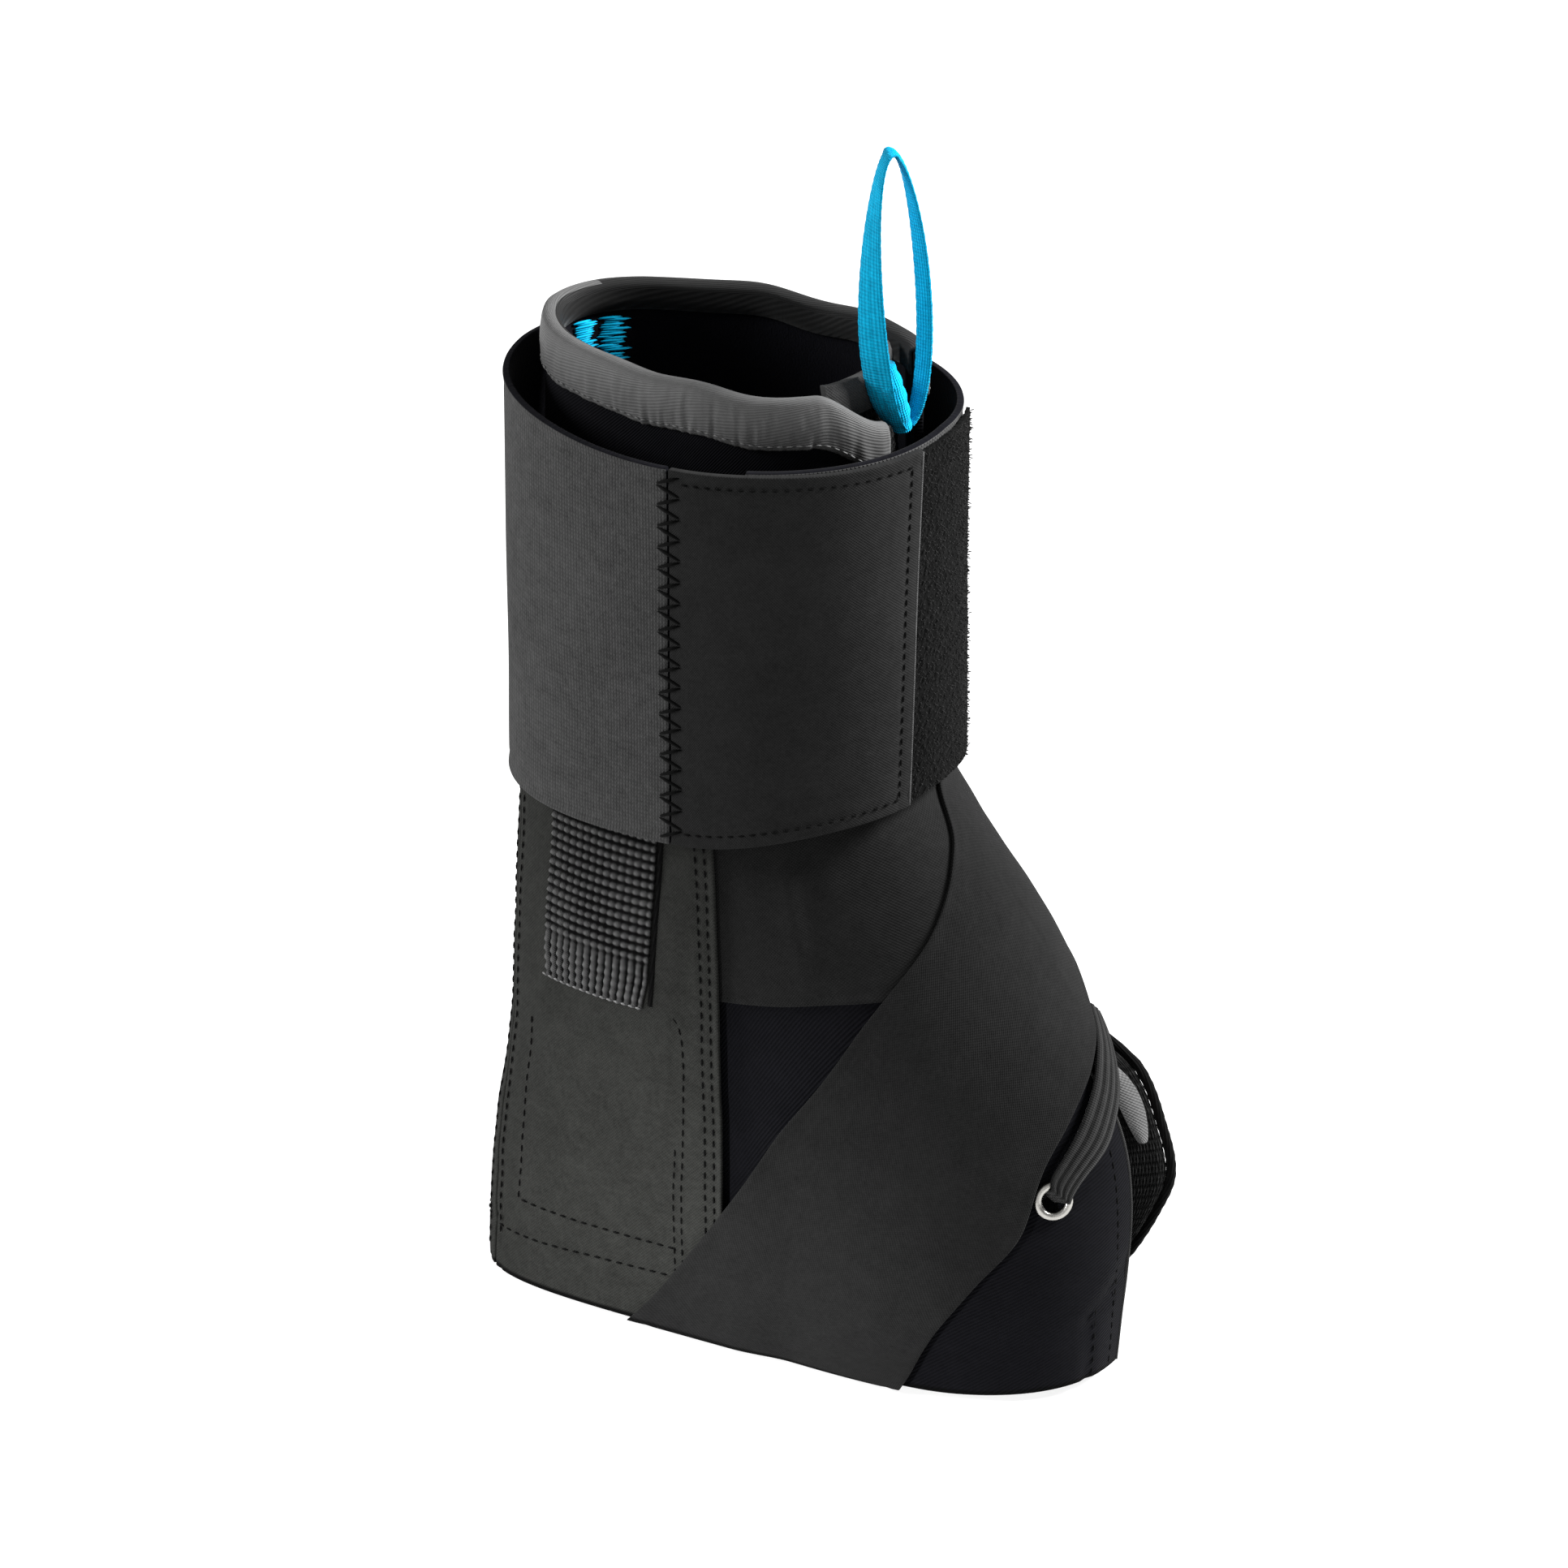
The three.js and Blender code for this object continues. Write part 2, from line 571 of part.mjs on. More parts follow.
// Layer of the cuff between two turns that may change with height
function cuffPatch({ from, to, inset, outer, thickness, along }) {
  return clothBody({
    along,
    across: 2,
    place: (u, v, face) => {
      const share = lerp(inset, 1 - inset, v);
      return cuffPoint(lerp(from(share), to(share), u), share, outer - (face ? 0 : thickness));
    },
  });
}

const tabEnd = (share) => CUFF_TAB_END - CUFF_TAB_SLANT * (1 - share);

function cuffTabGeometry() {
  return cuffPatch({
    from: () => CUFF_TAB_SEAM,
    to: tabEnd,
    inset: 0,
    outer: 0,
    thickness: TAB_THICKNESS,
    along: 16,
  });
}

function cuffPileGeometry() {
  return cuffPatch({
    from: (share) => tabEnd(share) + PILE_GAP_TURN,
    to: () => PILE_END,
    inset: PILE_INSET,
    outer: -PILE_SET_BACK,
    thickness: PILE_THICKNESS,
    along: 8,
  });
}

// Binding folded over the collar: outside, over the edge and a little way down inside
function bindingGeometry() {
  const outside = CLEARANCE;
  const inside = -BOOT_WALL - CLEARANCE;
  const rows = [
    { drop: -BINDING_DROP, offset: outside, outX: 1, outZ: 0 },
    { drop: 0, offset: outside, outX: 1, outZ: 0 },
    { drop: CLEARANCE, offset: outside, outX: 1, outZ: 1 },
    { drop: CLEARANCE, offset: inside, outX: -1, outZ: 1 },
    { drop: 0, offset: inside, outX: -1, outZ: 0 },
    { drop: -BINDING_INSIDE, offset: inside, outX: -1, outZ: 0 },
  ];
  return clothBody({
    along: WALL_STEPS,
    across: rows.length - 1,
    place: (u, v, face) => {
      const row = rows[Math.round(v * (rows.length - 1))];
      const signed = signedTurn(wallTurn(u, BOOT_HEIGHT));
      const height = collarHeight(signed) + row.drop + (face ? row.outZ * BINDING_THICKNESS : 0);
      return bootPoint(wallTurn(u, height), height, row.offset + (face ? row.outX * BINDING_THICKNESS : 0));
    },
  });
}

// Tongue: inside the boot above the instep, and leaning out of the opening below it
function tonguePoint(v, height, offset) {
  const share = height / BOOT_HEIGHT;
  const opened = smooth((share - TONGUE_HOLLOW_START) / (1 - TONGUE_HOLLOW_START));
  const hollow = TONGUE_HOLLOW * opened * (1 - (2 * v - 1) ** 2);
  const lined = bootPoint(
    lerp(-TONGUE_HALF_ANGLE, TONGUE_HALF_ANGLE, v),
    height,
    -BOOT_WALL - BINDING_THICKNESS - 2 * CLEARANCE - TONGUE_THICKNESS - hollow + offset,
  );
  const at = (name) => column(TONGUE_END, "height", name, share);
  const near = new THREE.Vector2(at("nearReach") * TOE_REACH, at("nearSide") * HALF_WIDTH);
  const far = new THREE.Vector2(at("farReach") * TOE_REACH, at("farSide") * HALF_WIDTH);
  const across = far.clone().sub(near).normalize();
  const edge = near.clone().lerp(far, v);
  edge.x += across.y * (offset - TONGUE_THICKNESS);
  edge.y -= across.x * (offset - TONGUE_THICKNESS);
  const inner = smooth((share - TONGUE_EXIT) / TONGUE_EXIT_RUN);
  return new THREE.Vector3(lerp(edge.x, lined.x, inner), lerp(edge.y, lined.y, inner), height);
}

function tongueGeometry() {
  return clothBody({
    along: 22,
    across: 6,
    place: (u, v, face) => tonguePoint(v, lerp(TONGUE_BOTTOM, TONGUE_TOP, u), face ? TONGUE_THICKNESS : 0),
  });
}

// Rolled edge along the far side of the tongue's lower end
function tongueBindingGeometry() {
  const points = [];
  const bends = 8;
  for (let i = 0; i <= bends; i += 1) {
    const height = lerp(TONGUE_BOTTOM, BOOT_HEIGHT * TONGUE_EDGE_TOP, i / bends);
    const middle = tonguePoint(1, height, TONGUE_THICKNESS / 2);
    const inward = tonguePoint(0, height, TONGUE_THICKNESS / 2);
    const outward = middle.clone().sub(inward).normalize();
    points.push(middle.addScaledVector(outward, TONGUE_EDGE + CLEARANCE));
  }
  return tubeBody(new THREE.CatmullRomCurve3(points), TONGUE_EDGE, 16, 6);
}

// Loop of ribbon standing on the tongue's front face
function pullLoopGeometry() {
  const heading = radians(LOOP_HEADING);
  const foot = tonguePoint(LOOP_SEAT, LOOP_FOOT, TONGUE_THICKNESS + CLEARANCE + RIBBON_THICKNESS);
  const across = new THREE.Vector3(Math.cos(heading), Math.sin(heading), 0);
  const facing = new THREE.Vector3(Math.sin(heading), -Math.cos(heading), 0);
  foot.addScaledVector(facing, RIBBON_WIDTH / 2 + LOOP_STANDOFF);
  const half = LOOP_WIDTH / 2;
  const outline = (t, inset) => {
    const swing = 2 * Math.PI * t;
    const rise = (1 - Math.cos(swing)) / 2;
    const spread = Math.sin(swing) * (1 - LOOP_TAPER * rise) * (half - inset) - LOOP_LEAN * rise;
    return foot.clone().addScaledVector(across, spread).setZ(LOOP_FOOT + rise * (LOOP_HEIGHT - inset));
  };
  return clothBody({
    along: 28,
    across: 1,
    place: (u, v, face) => {
      const point = outline(lerp(LOOP_START, 1 - LOOP_START, u), face ? 0 : RIBBON_THICKNESS);
      return point.addScaledVector(facing, lerp(-0.5, 0.5, v) * RIBBON_WIDTH);
    },
  });
}

// Lace from the near eyelet up across the opening: turns in degrees and rises in shares of
// BOOT_HEIGHT, both from the eyelet, and its width by share of LACE_WIDTH
const LACE_ROUTE = [
  { step: 0, turn: 0.5, rise: 0.013, width: 0.45 },
  { step: 1, turn: 3, rise: 0.031, width: 0.8 },
  { step: 2, turn: 8, rise: 0.059, width: 1 },
  { step: 3, turn: 13, rise: 0.091, width: 1 },
  { step: 4, turn: 18, rise: 0.121, width: 1 },
  { step: 5, turn: 22, rise: 0.143, width: 0.9 },
];

function laceGeometry() {
  return clothBody({
    along: 12,
    across: 2,
    place: (u, v, face) => {
      const at = (name) => column(LACE_ROUTE, "step", name, u * (LACE_ROUTE.length - 1));
      const shift = (v - 0.5) * LACE_WIDTH * at("width");
      const turn = at("turn") - EYELET_ANGLE + shift * LACE_SKEW_TURN;
      const height = EYELET_HEIGHT + at("rise") * BOOT_HEIGHT - shift * LACE_SKEW_HEIGHT;
      return bootPoint(turn, height, 2 * CLEARANCE + EYELET_RISE + (face ? LACE_THICKNESS : 0));
    },
  });
}

// Webbing loop lying on the tongue's end, wider in the middle than at its sewn ends
function laceLoopGeometry() {
  return clothBody({
    along: 8,
    across: 2,
    place: (u, v, face) => {
      const belly = lerp(LACE_LOOP.waist, 1, Math.sin(Math.PI * u) ** LACE_LOOP.fullness);
      const height = lerp(LACE_LOOP.low, LACE_LOOP.high, u) * BOOT_HEIGHT;
      const middle = tonguePoint(LACE_LOOP.middle + (v - 0.5) * LACE_LOOP.width * belly, height, 0);
      const outward = new THREE.Vector3(LACE_LOOP_FACING.x, LACE_LOOP_FACING.y, 0);
      return middle.addScaledVector(outward, TONGUE_THICKNESS + CLEARANCE + (face ? LACE_THICKNESS : 0));
    },
  });
}

// A named mesh in its own cloth or metal
function piece(name, geometry, colour, roughness, metalness = 0) {
  const material = new THREE.MeshStandardMaterial({ color: colour, roughness, metalness });
  const mesh = new THREE.Mesh(geometry, material);
  mesh.name = name;
  return mesh;
}

function eyelet(name, side) {
  const seat = eyeletSeat(side);
  const mesh = piece(name, eyeletGeometry(), 0xb9bcc0, 0.3, 0.9);
  mesh.quaternion.setFromUnitVectors(new THREE.Vector3(0, 1, 0), seat.facing);
  mesh.position.copy(seat.centre).addScaledVector(seat.facing, CLEARANCE);
  return mesh;
}

function eyeletHole(side) {
  const seat = eyeletSeat(side);
  const hole = new THREE.CylinderGeometry(EYELET_HOLE, EYELET_HOLE, BOOT_WALL * 4, 12);
  const turn = new THREE.Quaternion().setFromUnitVectors(new THREE.Vector3(0, 1, 0), seat.facing);
  hole.applyQuaternion(turn);
  hole.translate(seat.centre.x, seat.centre.y, seat.centre.z);
  return hole;
}

const brace = new THREE.Group();
brace.add(
  piece("boot_body", withHoles(bootGeometry(), [eyeletHole(-1), eyeletHole(1)]), 0x1b1b20, 0.95),
  piece("sole", soleGeometry(), 0x222224, 0.95),
  piece("collar_binding", bindingGeometry(), 0x6b6b6e, 0.6),
  piece("tongue", tongueGeometry(), 0x3a3a3c, 0.9),
  piece("tongue_binding", tongueBindingGeometry(), 0x0c0c0e, 0.8),
  piece("pull_loop", pullLoopGeometry(), 0x1d9fcb, 0.7),
  piece("lateral_stay_panel", stayPanelGeometry(-1), 0x3c3d3b, 0.9),
  piece("medial_stay_panel", stayPanelGeometry(1), 0x3c3d3b, 0.9),
  piece("heel_panel", heelPanelGeometry(), 0x38393a, 0.9),
  piece("lateral_webbing", webbingGeometry(-1), 0x2b2b2c, 0.85),
  piece("medial_webbing", webbingGeometry(1), 0x2b2b2c, 0.85),
  piece("lateral_strap", strapGeometry(LATERAL_ROUTE, lateralLift, LATERAL_BRIDGE), 0x2a2a2b, 0.85),
  piece("medial_strap", strapGeometry(MEDIAL_ROUTE, medialLift, MEDIAL_BRIDGE), 0x2a2a2b, 0.85),
  piece("cuff_elastic", cuffGeometry(), 0x454545, 0.95),
  piece("cuff_tab", cuffTabGeometry(), 0x2d2d2e, 0.85),
  piece("cuff_pile", cuffPileGeometry(), 0x202021, 1),
  eyelet("lateral_eyelet", -1),
  eyelet("medial_eyelet", 1),
  piece("lace", laceGeometry(), 0x2e2e2f, 0.85),
  piece("lace_loop", laceLoopGeometry(), 0x7a7a7c, 0.8),
);

export default brace;
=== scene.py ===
"""Lace-up ankle brace with figure-of-eight straps, an elastic cuff and a padded tongue.

Places and sizes are in millimetres until a mesh is made, and every mesh is in metres in the frame's
own axes: +X to the toe, +Y to the far (medial) side, +Z up, with the floor at zero.
"""

import logging
import math
from dataclasses import dataclass, field
from enum import Enum
from typing import Callable, Optional, Sequence

import bmesh
import bpy
from mathutils import Matrix, Vector, noise


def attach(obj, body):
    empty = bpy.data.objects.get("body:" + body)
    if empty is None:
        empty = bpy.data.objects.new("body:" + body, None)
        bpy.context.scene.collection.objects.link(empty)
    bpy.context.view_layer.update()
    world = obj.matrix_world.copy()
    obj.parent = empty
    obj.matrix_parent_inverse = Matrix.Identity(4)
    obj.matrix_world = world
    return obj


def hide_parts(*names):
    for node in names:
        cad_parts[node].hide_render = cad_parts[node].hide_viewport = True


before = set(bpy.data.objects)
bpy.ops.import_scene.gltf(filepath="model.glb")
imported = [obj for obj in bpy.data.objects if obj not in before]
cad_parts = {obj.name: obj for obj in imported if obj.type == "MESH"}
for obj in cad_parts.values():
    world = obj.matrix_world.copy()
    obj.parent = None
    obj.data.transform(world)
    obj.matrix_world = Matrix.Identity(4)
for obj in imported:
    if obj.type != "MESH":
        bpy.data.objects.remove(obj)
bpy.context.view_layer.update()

log = logging.getLogger("ankle_brace")

MM = 0.001
BODY = "root"
CLOTH_MAP = "cloth"
RELIEF = "relief"
HEM_WIDTH = 0.8
HEM_BLACK = (0.0015, 0.0015, 0.0015, 1.0)

Colour = tuple[float, float, float]
Place = Callable[[float, float, float], Vector]
Seam = Callable[[float], tuple[Vector, Vector]]
Lift = Callable[[float, float, float], float]


def lerp(a: float, b: float, t: float) -> float:
    """Value between a and b at a share t."""
    return a + (b - a) * t


def smooth(t: float) -> float:
    """Smooth step of t, held between 0 and 1."""
    x = min(1.0, max(0.0, t))
    return x * x * (3 - 2 * x)


def hump(t: float, middle: float, width: float) -> float:
    """Bell of height 1 round a middle."""
    return math.exp(-(((t - middle) / width) ** 2))


def column(rows: Sequence[tuple], index: int, at: float) -> float:
    """Value of a table's column on a smooth curve through its rows.

    Args:
        rows: Rows whose first value is the position.
        index: Index of the column.
        at: Position, held between the first and last row.

    Returns:
        The value there.
    """
    last = len(rows) - 1
    x = min(max(at, rows[0][0]), rows[last][0])
    i = 0
    while i < last - 1 and rows[i + 1][0] <= x:
        i += 1

    def slope(k: int) -> float:
        """Slope of the curve at a row."""
        a = rows[max(0, k - 1)]
        b = rows[min(last, k + 1)]
        return (b[index] - a[index]) / (b[0] - a[0])

    span = rows[i + 1][0] - rows[i][0]
    t = (x - rows[i][0]) / span
    t2 = t * t
    t3 = t2 * t
    start = (2 * t3 - 3 * t2 + 1) * rows[i][index] + (t3 - 2 * t2 + t) * span * slope(i)
    end = (3 * t2 - 2 * t3) * rows[i + 1][index] + (t3 - t2) * span * slope(i + 1)
    return start + end


def corner_radius(turn: float, reach: float, side: float, form: float) -> float:
    """Radius of a rounded corner with two reaches and a power."""
    c = abs(math.cos(turn)) / reach
    s = abs(math.sin(turn)) / side
    return (c**form + s**form) ** (-1 / form)


def polyline(points: Sequence[tuple[float, float]], t: float) -> tuple[float, float]:
    """Point at a share t of a polyline's length."""
    lengths = [math.dist(a, b) for a, b in zip(points, points[1:])]
    left = t * sum(lengths)
    for (a, b), length in zip(zip(points, points[1:]), lengths):
        if left <= length:
            share = left / length if length else 0.0
            return lerp(a[0], b[0], share), lerp(a[1], b[1], share)
        left -= length
    return points[-1]


@dataclass
class BootForm:
    """Surface of the boot, on which every layer of cloth lies.

    The section rows are: height, back, front, half width, middle, then the powers of the heel's
    corners, the near toe and the far toe. Lengths are shares of the sizes named here. The throat
    rows are: height, then the turns of the opening's near and far edges, in degrees.
    """

    height: float = 244.0
    heel_reach: float = 55.5
    toe_reach: float = 105.0
    half_width: float = 39.0
    toe_lean: float = 7.0
    wall: float = 2.2
    panel_front: float = 17.5
    panel_front_lean: float = 9.0
    cuff_base: float = 131.0
    heel_wrap: float = 9.5
    unevenness: float = 0.45
    sections: tuple = (
        (0.0, 0.972, 0.981, 1.0, 0.324, 6.0, 2.3, 1.4),
        (0.057, 1.0, 0.99, 1.0, 0.305, 5.0, 2.3, 1.4),
        (0.164, 0.982, 1.0, 1.0, 0.248, 4.0, 2.2, 1.45),
        (0.254, 0.963, 0.971, 0.974, 0.171, 3.1, 2.0, 1.6),
        (0.328, 0.954, 0.881, 0.949, 0.114, 2.9, 2.0, 1.8),
        (0.43, 0.95, 0.72, 0.897, 0.057, 2.7, 1.9, 1.9),
        (0.525, 0.95, 0.54, 0.82, 0.02, 2.5, 1.9, 1.9),
        (0.578, 0.945, 0.434, 0.8, 0.01, 2.4, 2.0, 2.0),
        (0.78, 0.927, 0.41, 0.77, 0.02, 2.1, 2.1, 2.1),
        (1.0, 0.917, 0.405, 0.72, 0.04, 1.9, 2.0, 2.0),
    )
    throat_rows: tuple = (
        (0.0, -1.0, 13.0),
        (0.27, -1.0, 13.0),
        (0.4, -8.0, 14.0),
        (0.55, -13.0, 16.0),
        (1.0, -14.0, 17.0),
    )
    found: dict = field(default_factory=dict, repr=False)

    @property
    def panel_rear(self) -> float:
        """X of the side panels' rear edges, where the heel strip starts."""
        return self.heel_wrap - self.heel_reach

    def section(self, height: float) -> tuple[float, ...]:
        """Back, front, half width, middle and the three powers of the section at a height."""
        key = round(height, 2)
        if key not in self.found:
            at = [column(self.sections, i, key / self.height) for i in range(1, 8)]
            sizes = (self.heel_reach, self.toe_reach, self.half_width, self.toe_reach, 1.0, 1.0, 1.0)
            self.found[key] = tuple(a * size for a, size in zip(at, sizes))
        return self.found[key]

    def bare_point(self, degrees: float, height: float, offset: float) -> Vector:
        """Point of the boot's outer face, moved outwards by an offset, with no unevenness."""
        turn = math.radians(degrees)
        back, front, half, mid, heel, toe, far = self.section(height)
        ahead = math.cos(turn) >= 0
        reach = front - mid if ahead else back + mid
        form = (far if math.sin(turn) > 0 else toe) if ahead else heel
        radius = corner_radius(turn, reach + offset, half + offset, form)
        x = mid + radius * math.cos(turn)
        low = max(0.0, 1 - height / (self.height * 0.455))
        lean = self.toe_lean * low * max(0.0, (x / self.toe_reach - 0.2) / 0.8) ** 2
        return Vector((x, radius * math.sin(turn) - lean, height))

    def point(self, degrees: float, height: float, offset: float) -> Vector:
        """Point of the boot's face or of a layer on it, with the cloth's soft unevenness."""
        base = self.bare_point(degrees, height, 0.0)
        soft = noise.noise(base / 26.0) + 0.4 * noise.noise(base / 9.0)
        edge = smooth(height / 14.0)
        return self.bare_point(degrees, height, offset + self.unevenness * soft * edge)

    def face(self, degrees: float, height: float, offset: float) -> tuple[Vector, Vector]:
        """Point at an offset from the boot's face, and the direction outwards there."""
        point = self.point(degrees, height, offset)
        return point, (self.point(degrees, height, offset + 1) - point).normalized()

    def turn_at_x(self, x: float, height: float) -> float:
        """Turn, on the near side, at which the surface passes a given X."""
        back, front, half, mid, heel, toe, _ = self.section(height)
        ahead = x >= mid
        reach = front - mid if ahead else back + mid
        form = toe if ahead else heel
        share = min(1.0, abs(x - mid) / reach)
        y = half * (1 - share**form) ** (1 / form)
        return math.degrees(math.atan2(-y, x - mid))

    def side_point(self, side: int, x: float, height: float, offset: float) -> Vector:
        """Point on the near (-1) or far (1) side at an X position."""
        return self.point(-side * self.turn_at_x(x, height), height, offset)

    def throat(self, edge: int, height: float) -> float:
        """Turn of the front opening's near (1) or far (2) edge."""
        return column(self.throat_rows, edge, height / self.height)

    def collar(self, degrees: float) -> float:
        """Height of the collar's edge, a little wavy as sewn cloth is."""
        near = max(0.0, -math.sin(math.radians(degrees)))
        flap = smooth((40 + degrees) / 28) if degrees < 0 else 0.0
        wave = 0.7 * math.sin(math.radians(degrees * 3 + 40)) + 0.4 * math.sin(math.radians(degrees * 7))
        return self.height - 4 - 1.6 * near - 9 * flap + wave

    def hem(self, degrees: float) -> float:
        """Height of the hem, which lifts a little round the toe opening."""
        return 3 * smooth(1 - abs(degrees) / 48)

    def wall_turn(self, u: float, height: float) -> float:
        """Turn at a share of the way from the near edge of the opening round to the far edge."""
        return lerp(self.throat(1, height), self.throat(2, height) - 360, u)

    def panel_edge(self, height: float) -> float:
        """X of a side panel's front edge."""
        return self.panel_front - self.panel_front_lean * (height / self.cuff_base) ** 2

    def seam(self, side: int, points: Sequence[tuple[float, float]], offset: float) -> Seam:
        """Seam through (x, height) points on one side, as a function of its share of length."""

        def at(t: float) -> tuple[Vector, Vector]:
            """Point and outward direction at a share of the seam."""
            x, height = polyline(points, t)
            return self.face(-side * self.turn_at_x(x, height), height, offset)

        return at


class Layer:
    """Offsets of the layers of cloth from the boot's face."""

    UNDER = 0.4
    OVER = 1.8
    TOP = 3.4


def signed(degrees: float) -> float:
    """The same turn between -180 and 180 degrees."""
    return (degrees + 540) % 360 - 180


class Wiring:
    """Adds nodes to a tree and links them in short calls."""

    def __init__(self, tree: bpy.types.NodeTree) -> None:
        """Starts on a tree."""
        self.tree = tree

    def put(self, kind: str, **settings: object) -> bpy.types.Node:
        """Adds a node and gives it its settings."""
        node = self.tree.nodes.new(kind)
        for key, value in settings.items():
            setattr(node, key, value)
        return node

    def feed(self, socket: bpy.types.NodeSocket, value: object) -> None:
        """Links a socket to a value, or sets it."""
        if isinstance(value, bpy.types.NodeSocket):
            self.tree.links.new(value, socket)
        else:
            socket.default_value = value

    def calc(self, operation: str, *values: object) -> bpy.types.NodeSocket:
        """Adds a math node on the given values and returns its result."""
        node = self.put("ShaderNodeMath", operation=operation)
        for socket, value in zip(node.inputs, values):
            self.feed(socket, value)
        return node.outputs[0]

    def clamp(self, value: object) -> bpy.types.NodeSocket:
        """A value held between 0 and 1."""
        node = self.put("ShaderNodeMath", operation="ADD", use_clamp=True)
        self.feed(node.inputs[0], value)
        node.inputs[1].default_value = 0.0
        return node.outputs[0]

    def noise(self, vector: object, scale: float, detail: float = 2.0) -> bpy.types.NodeSocket:
        """Noise between 0 and 1 at a scale."""
        node = self.put("ShaderNodeTexNoise")
        self.feed(node.inputs["Vector"], vector)
        node.inputs["Scale"].default_value = scale
        node.inputs["Detail"].default_value = detail
        return node.outputs["Fac"]

    def mix(self, factor: object, a: object, b: object) -> bpy.types.NodeSocket:
        """A colour mixed from two."""
        node = self.put("ShaderNodeMix", data_type="RGBA")
        self.feed(node.inputs["Factor"], factor)
        self.feed(node.inputs["A"], a)
        self.feed(node.inputs["B"], b)
        return node.outputs["Result"]


class Weave(Enum):
    """How a cloth is made, which gives its fine relief."""

    PLAIN = "plain_weave"
    TWILL = "diagonal_twill"
    KNIT = "rib_knit"
    MESH = "spacer_mesh"
    SATIN = "satin_tape"
    PILE = "hook_pile"
    BRAID = "flat_braid"

    def relief(self, wire: Wiring, x: object, y: object, cloth: object) -> bpy.types.NodeSocket:
        """Height of the threads between 0 and 1.

        Args:
            wire: Where the nodes go.
            x: Position across the cloth, in threads.
            y: Position along the cloth, in threads.
            cloth: The same position as a vector.

        Returns:
            The socket that holds the height.
        """

        def wave(value: object, phase: float = 0.0) -> bpy.types.NodeSocket:
            """Sine of a whole turn for each thread."""
            turn = wire.calc("MULTIPLY_ADD", value, 2 * math.pi, phase)
            return wire.calc("SINE", turn)

        if self is Weave.KNIT:
            column_share = wire.calc("FRACT", x)
            lean = wire.calc("ABSOLUTE", wire.calc("SUBTRACT", column_share, 0.5))
            row = wire.calc("MULTIPLY_ADD", lean, -0.9, y)
            rib = wire.calc("SINE", wire.calc("MULTIPLY", column_share, math.pi))
            return wire.calc("MULTIPLY", rib, wire.calc("MULTIPLY_ADD", wave(row), 0.35, 0.65))
        if self is Weave.MESH:
            cell = wire.calc("ADD", wave(x), wave(y, math.pi / 2))
            return wire.clamp(wire.calc("MULTIPLY_ADD", cell, 0.6, 0.6))
        if self is Weave.SATIN:
            return wire.calc("MULTIPLY_ADD", wave(wire.calc("MULTIPLY_ADD", x, 0.15, y)), 0.5, 0.5)
        if self is Weave.PILE:
            return wire.noise(cloth, 1.0, 3.0)
        if self is Weave.TWILL:
            return wire.calc("MULTIPLY_ADD", wave(wire.calc("MULTIPLY_ADD", x, 0.8, y)), 0.5, 0.5)
        if self is Weave.BRAID:
            left = wave(wire.calc("ADD", x, y))
            right = wave(wire.calc("SUBTRACT", x, y))
            return wire.calc("MULTIPLY_ADD", wire.calc("MULTIPLY", left, right), 0.5, 0.5)
        return wire.calc("MULTIPLY_ADD", wire.calc("MULTIPLY", wave(x), wave(y)), 0.5, 0.5)

    def group(self) -> bpy.types.NodeTree:
        """The shared node group of this weave, built once."""
        tree = bpy.data.node_groups.get(self.value)
        if tree:
            return tree
        tree = bpy.data.node_groups.new(self.value, "ShaderNodeTree")
        tree.interface.new_socket("Cloth", in_out="INPUT", socket_type="NodeSocketVector")
        pitch = tree.interface.new_socket(
            "Threads per metre", in_out="INPUT", socket_type="NodeSocketFloat"
        )
        pitch.default_value = 1000.0
        tree.interface.new_socket("Height", in_out="OUTPUT", socket_type="NodeSocketFloat")
        tree.interface.new_socket("Fibre", in_out="OUTPUT", socket_type="NodeSocketFloat")
        wire = Wiring(tree)
        entry = wire.put("NodeGroupInput")
        leave = wire.put("NodeGroupOutput")
        scaled = wire.put("ShaderNodeVectorMath", operation="SCALE")
        wire.feed(scaled.inputs[0], entry.outputs["Cloth"])
        wire.feed(scaled.inputs["Scale"], entry.outputs["Threads per metre"])
        split = wire.put("ShaderNodeSeparateXYZ")
        wire.feed(split.inputs[0], scaled.outputs[0])
        height = self.relief(wire, split.outputs["X"], split.outputs["Y"], scaled.outputs[0])
        fine = wire.noise(entry.outputs["Cloth"], 900.0, 3.0)
        coarse = wire.noise(entry.outputs["Cloth"], 260.0, 2.0)
        fibre = wire.calc("MULTIPLY_ADD", fine, 0.6, wire.calc("MULTIPLY", coarse, 0.4))
        wire.feed(leave.inputs["Height"], height)
        wire.feed(leave.inputs["Fibre"], fibre)
        return tree


def wear_group() -> bpy.types.NodeTree:
    """The shared node group of handling marks: a soft mask over the whole piece."""
    name = "handling_marks"
    tree = bpy.data.node_groups.get(name)
    if tree:
        return tree
    tree = bpy.data.node_groups.new(name, "ShaderNodeTree")
    tree.interface.new_socket("Place", in_out="INPUT", socket_type="NodeSocketVector")
    tree.interface.new_socket("Mask", in_out="OUTPUT", socket_type="NodeSocketFloat")
    wire = Wiring(tree)
    entry = wire.put("NodeGroupInput")
    leave = wire.put("NodeGroupOutput")
    broad = wire.noise(entry.outputs["Place"], 28.0, 3.0)
    near = wire.noise(entry.outputs["Place"], 110.0, 3.0)
    blend = wire.calc("MULTIPLY_ADD", broad, 0.65, wire.calc("MULTIPLY", near, 0.35))
    spread = wire.calc("MULTIPLY_ADD", wire.calc("SUBTRACT", blend, 0.5), 2.2, 0.5)
    wire.feed(leave.inputs["Mask"], wire.clamp(spread))
    return tree


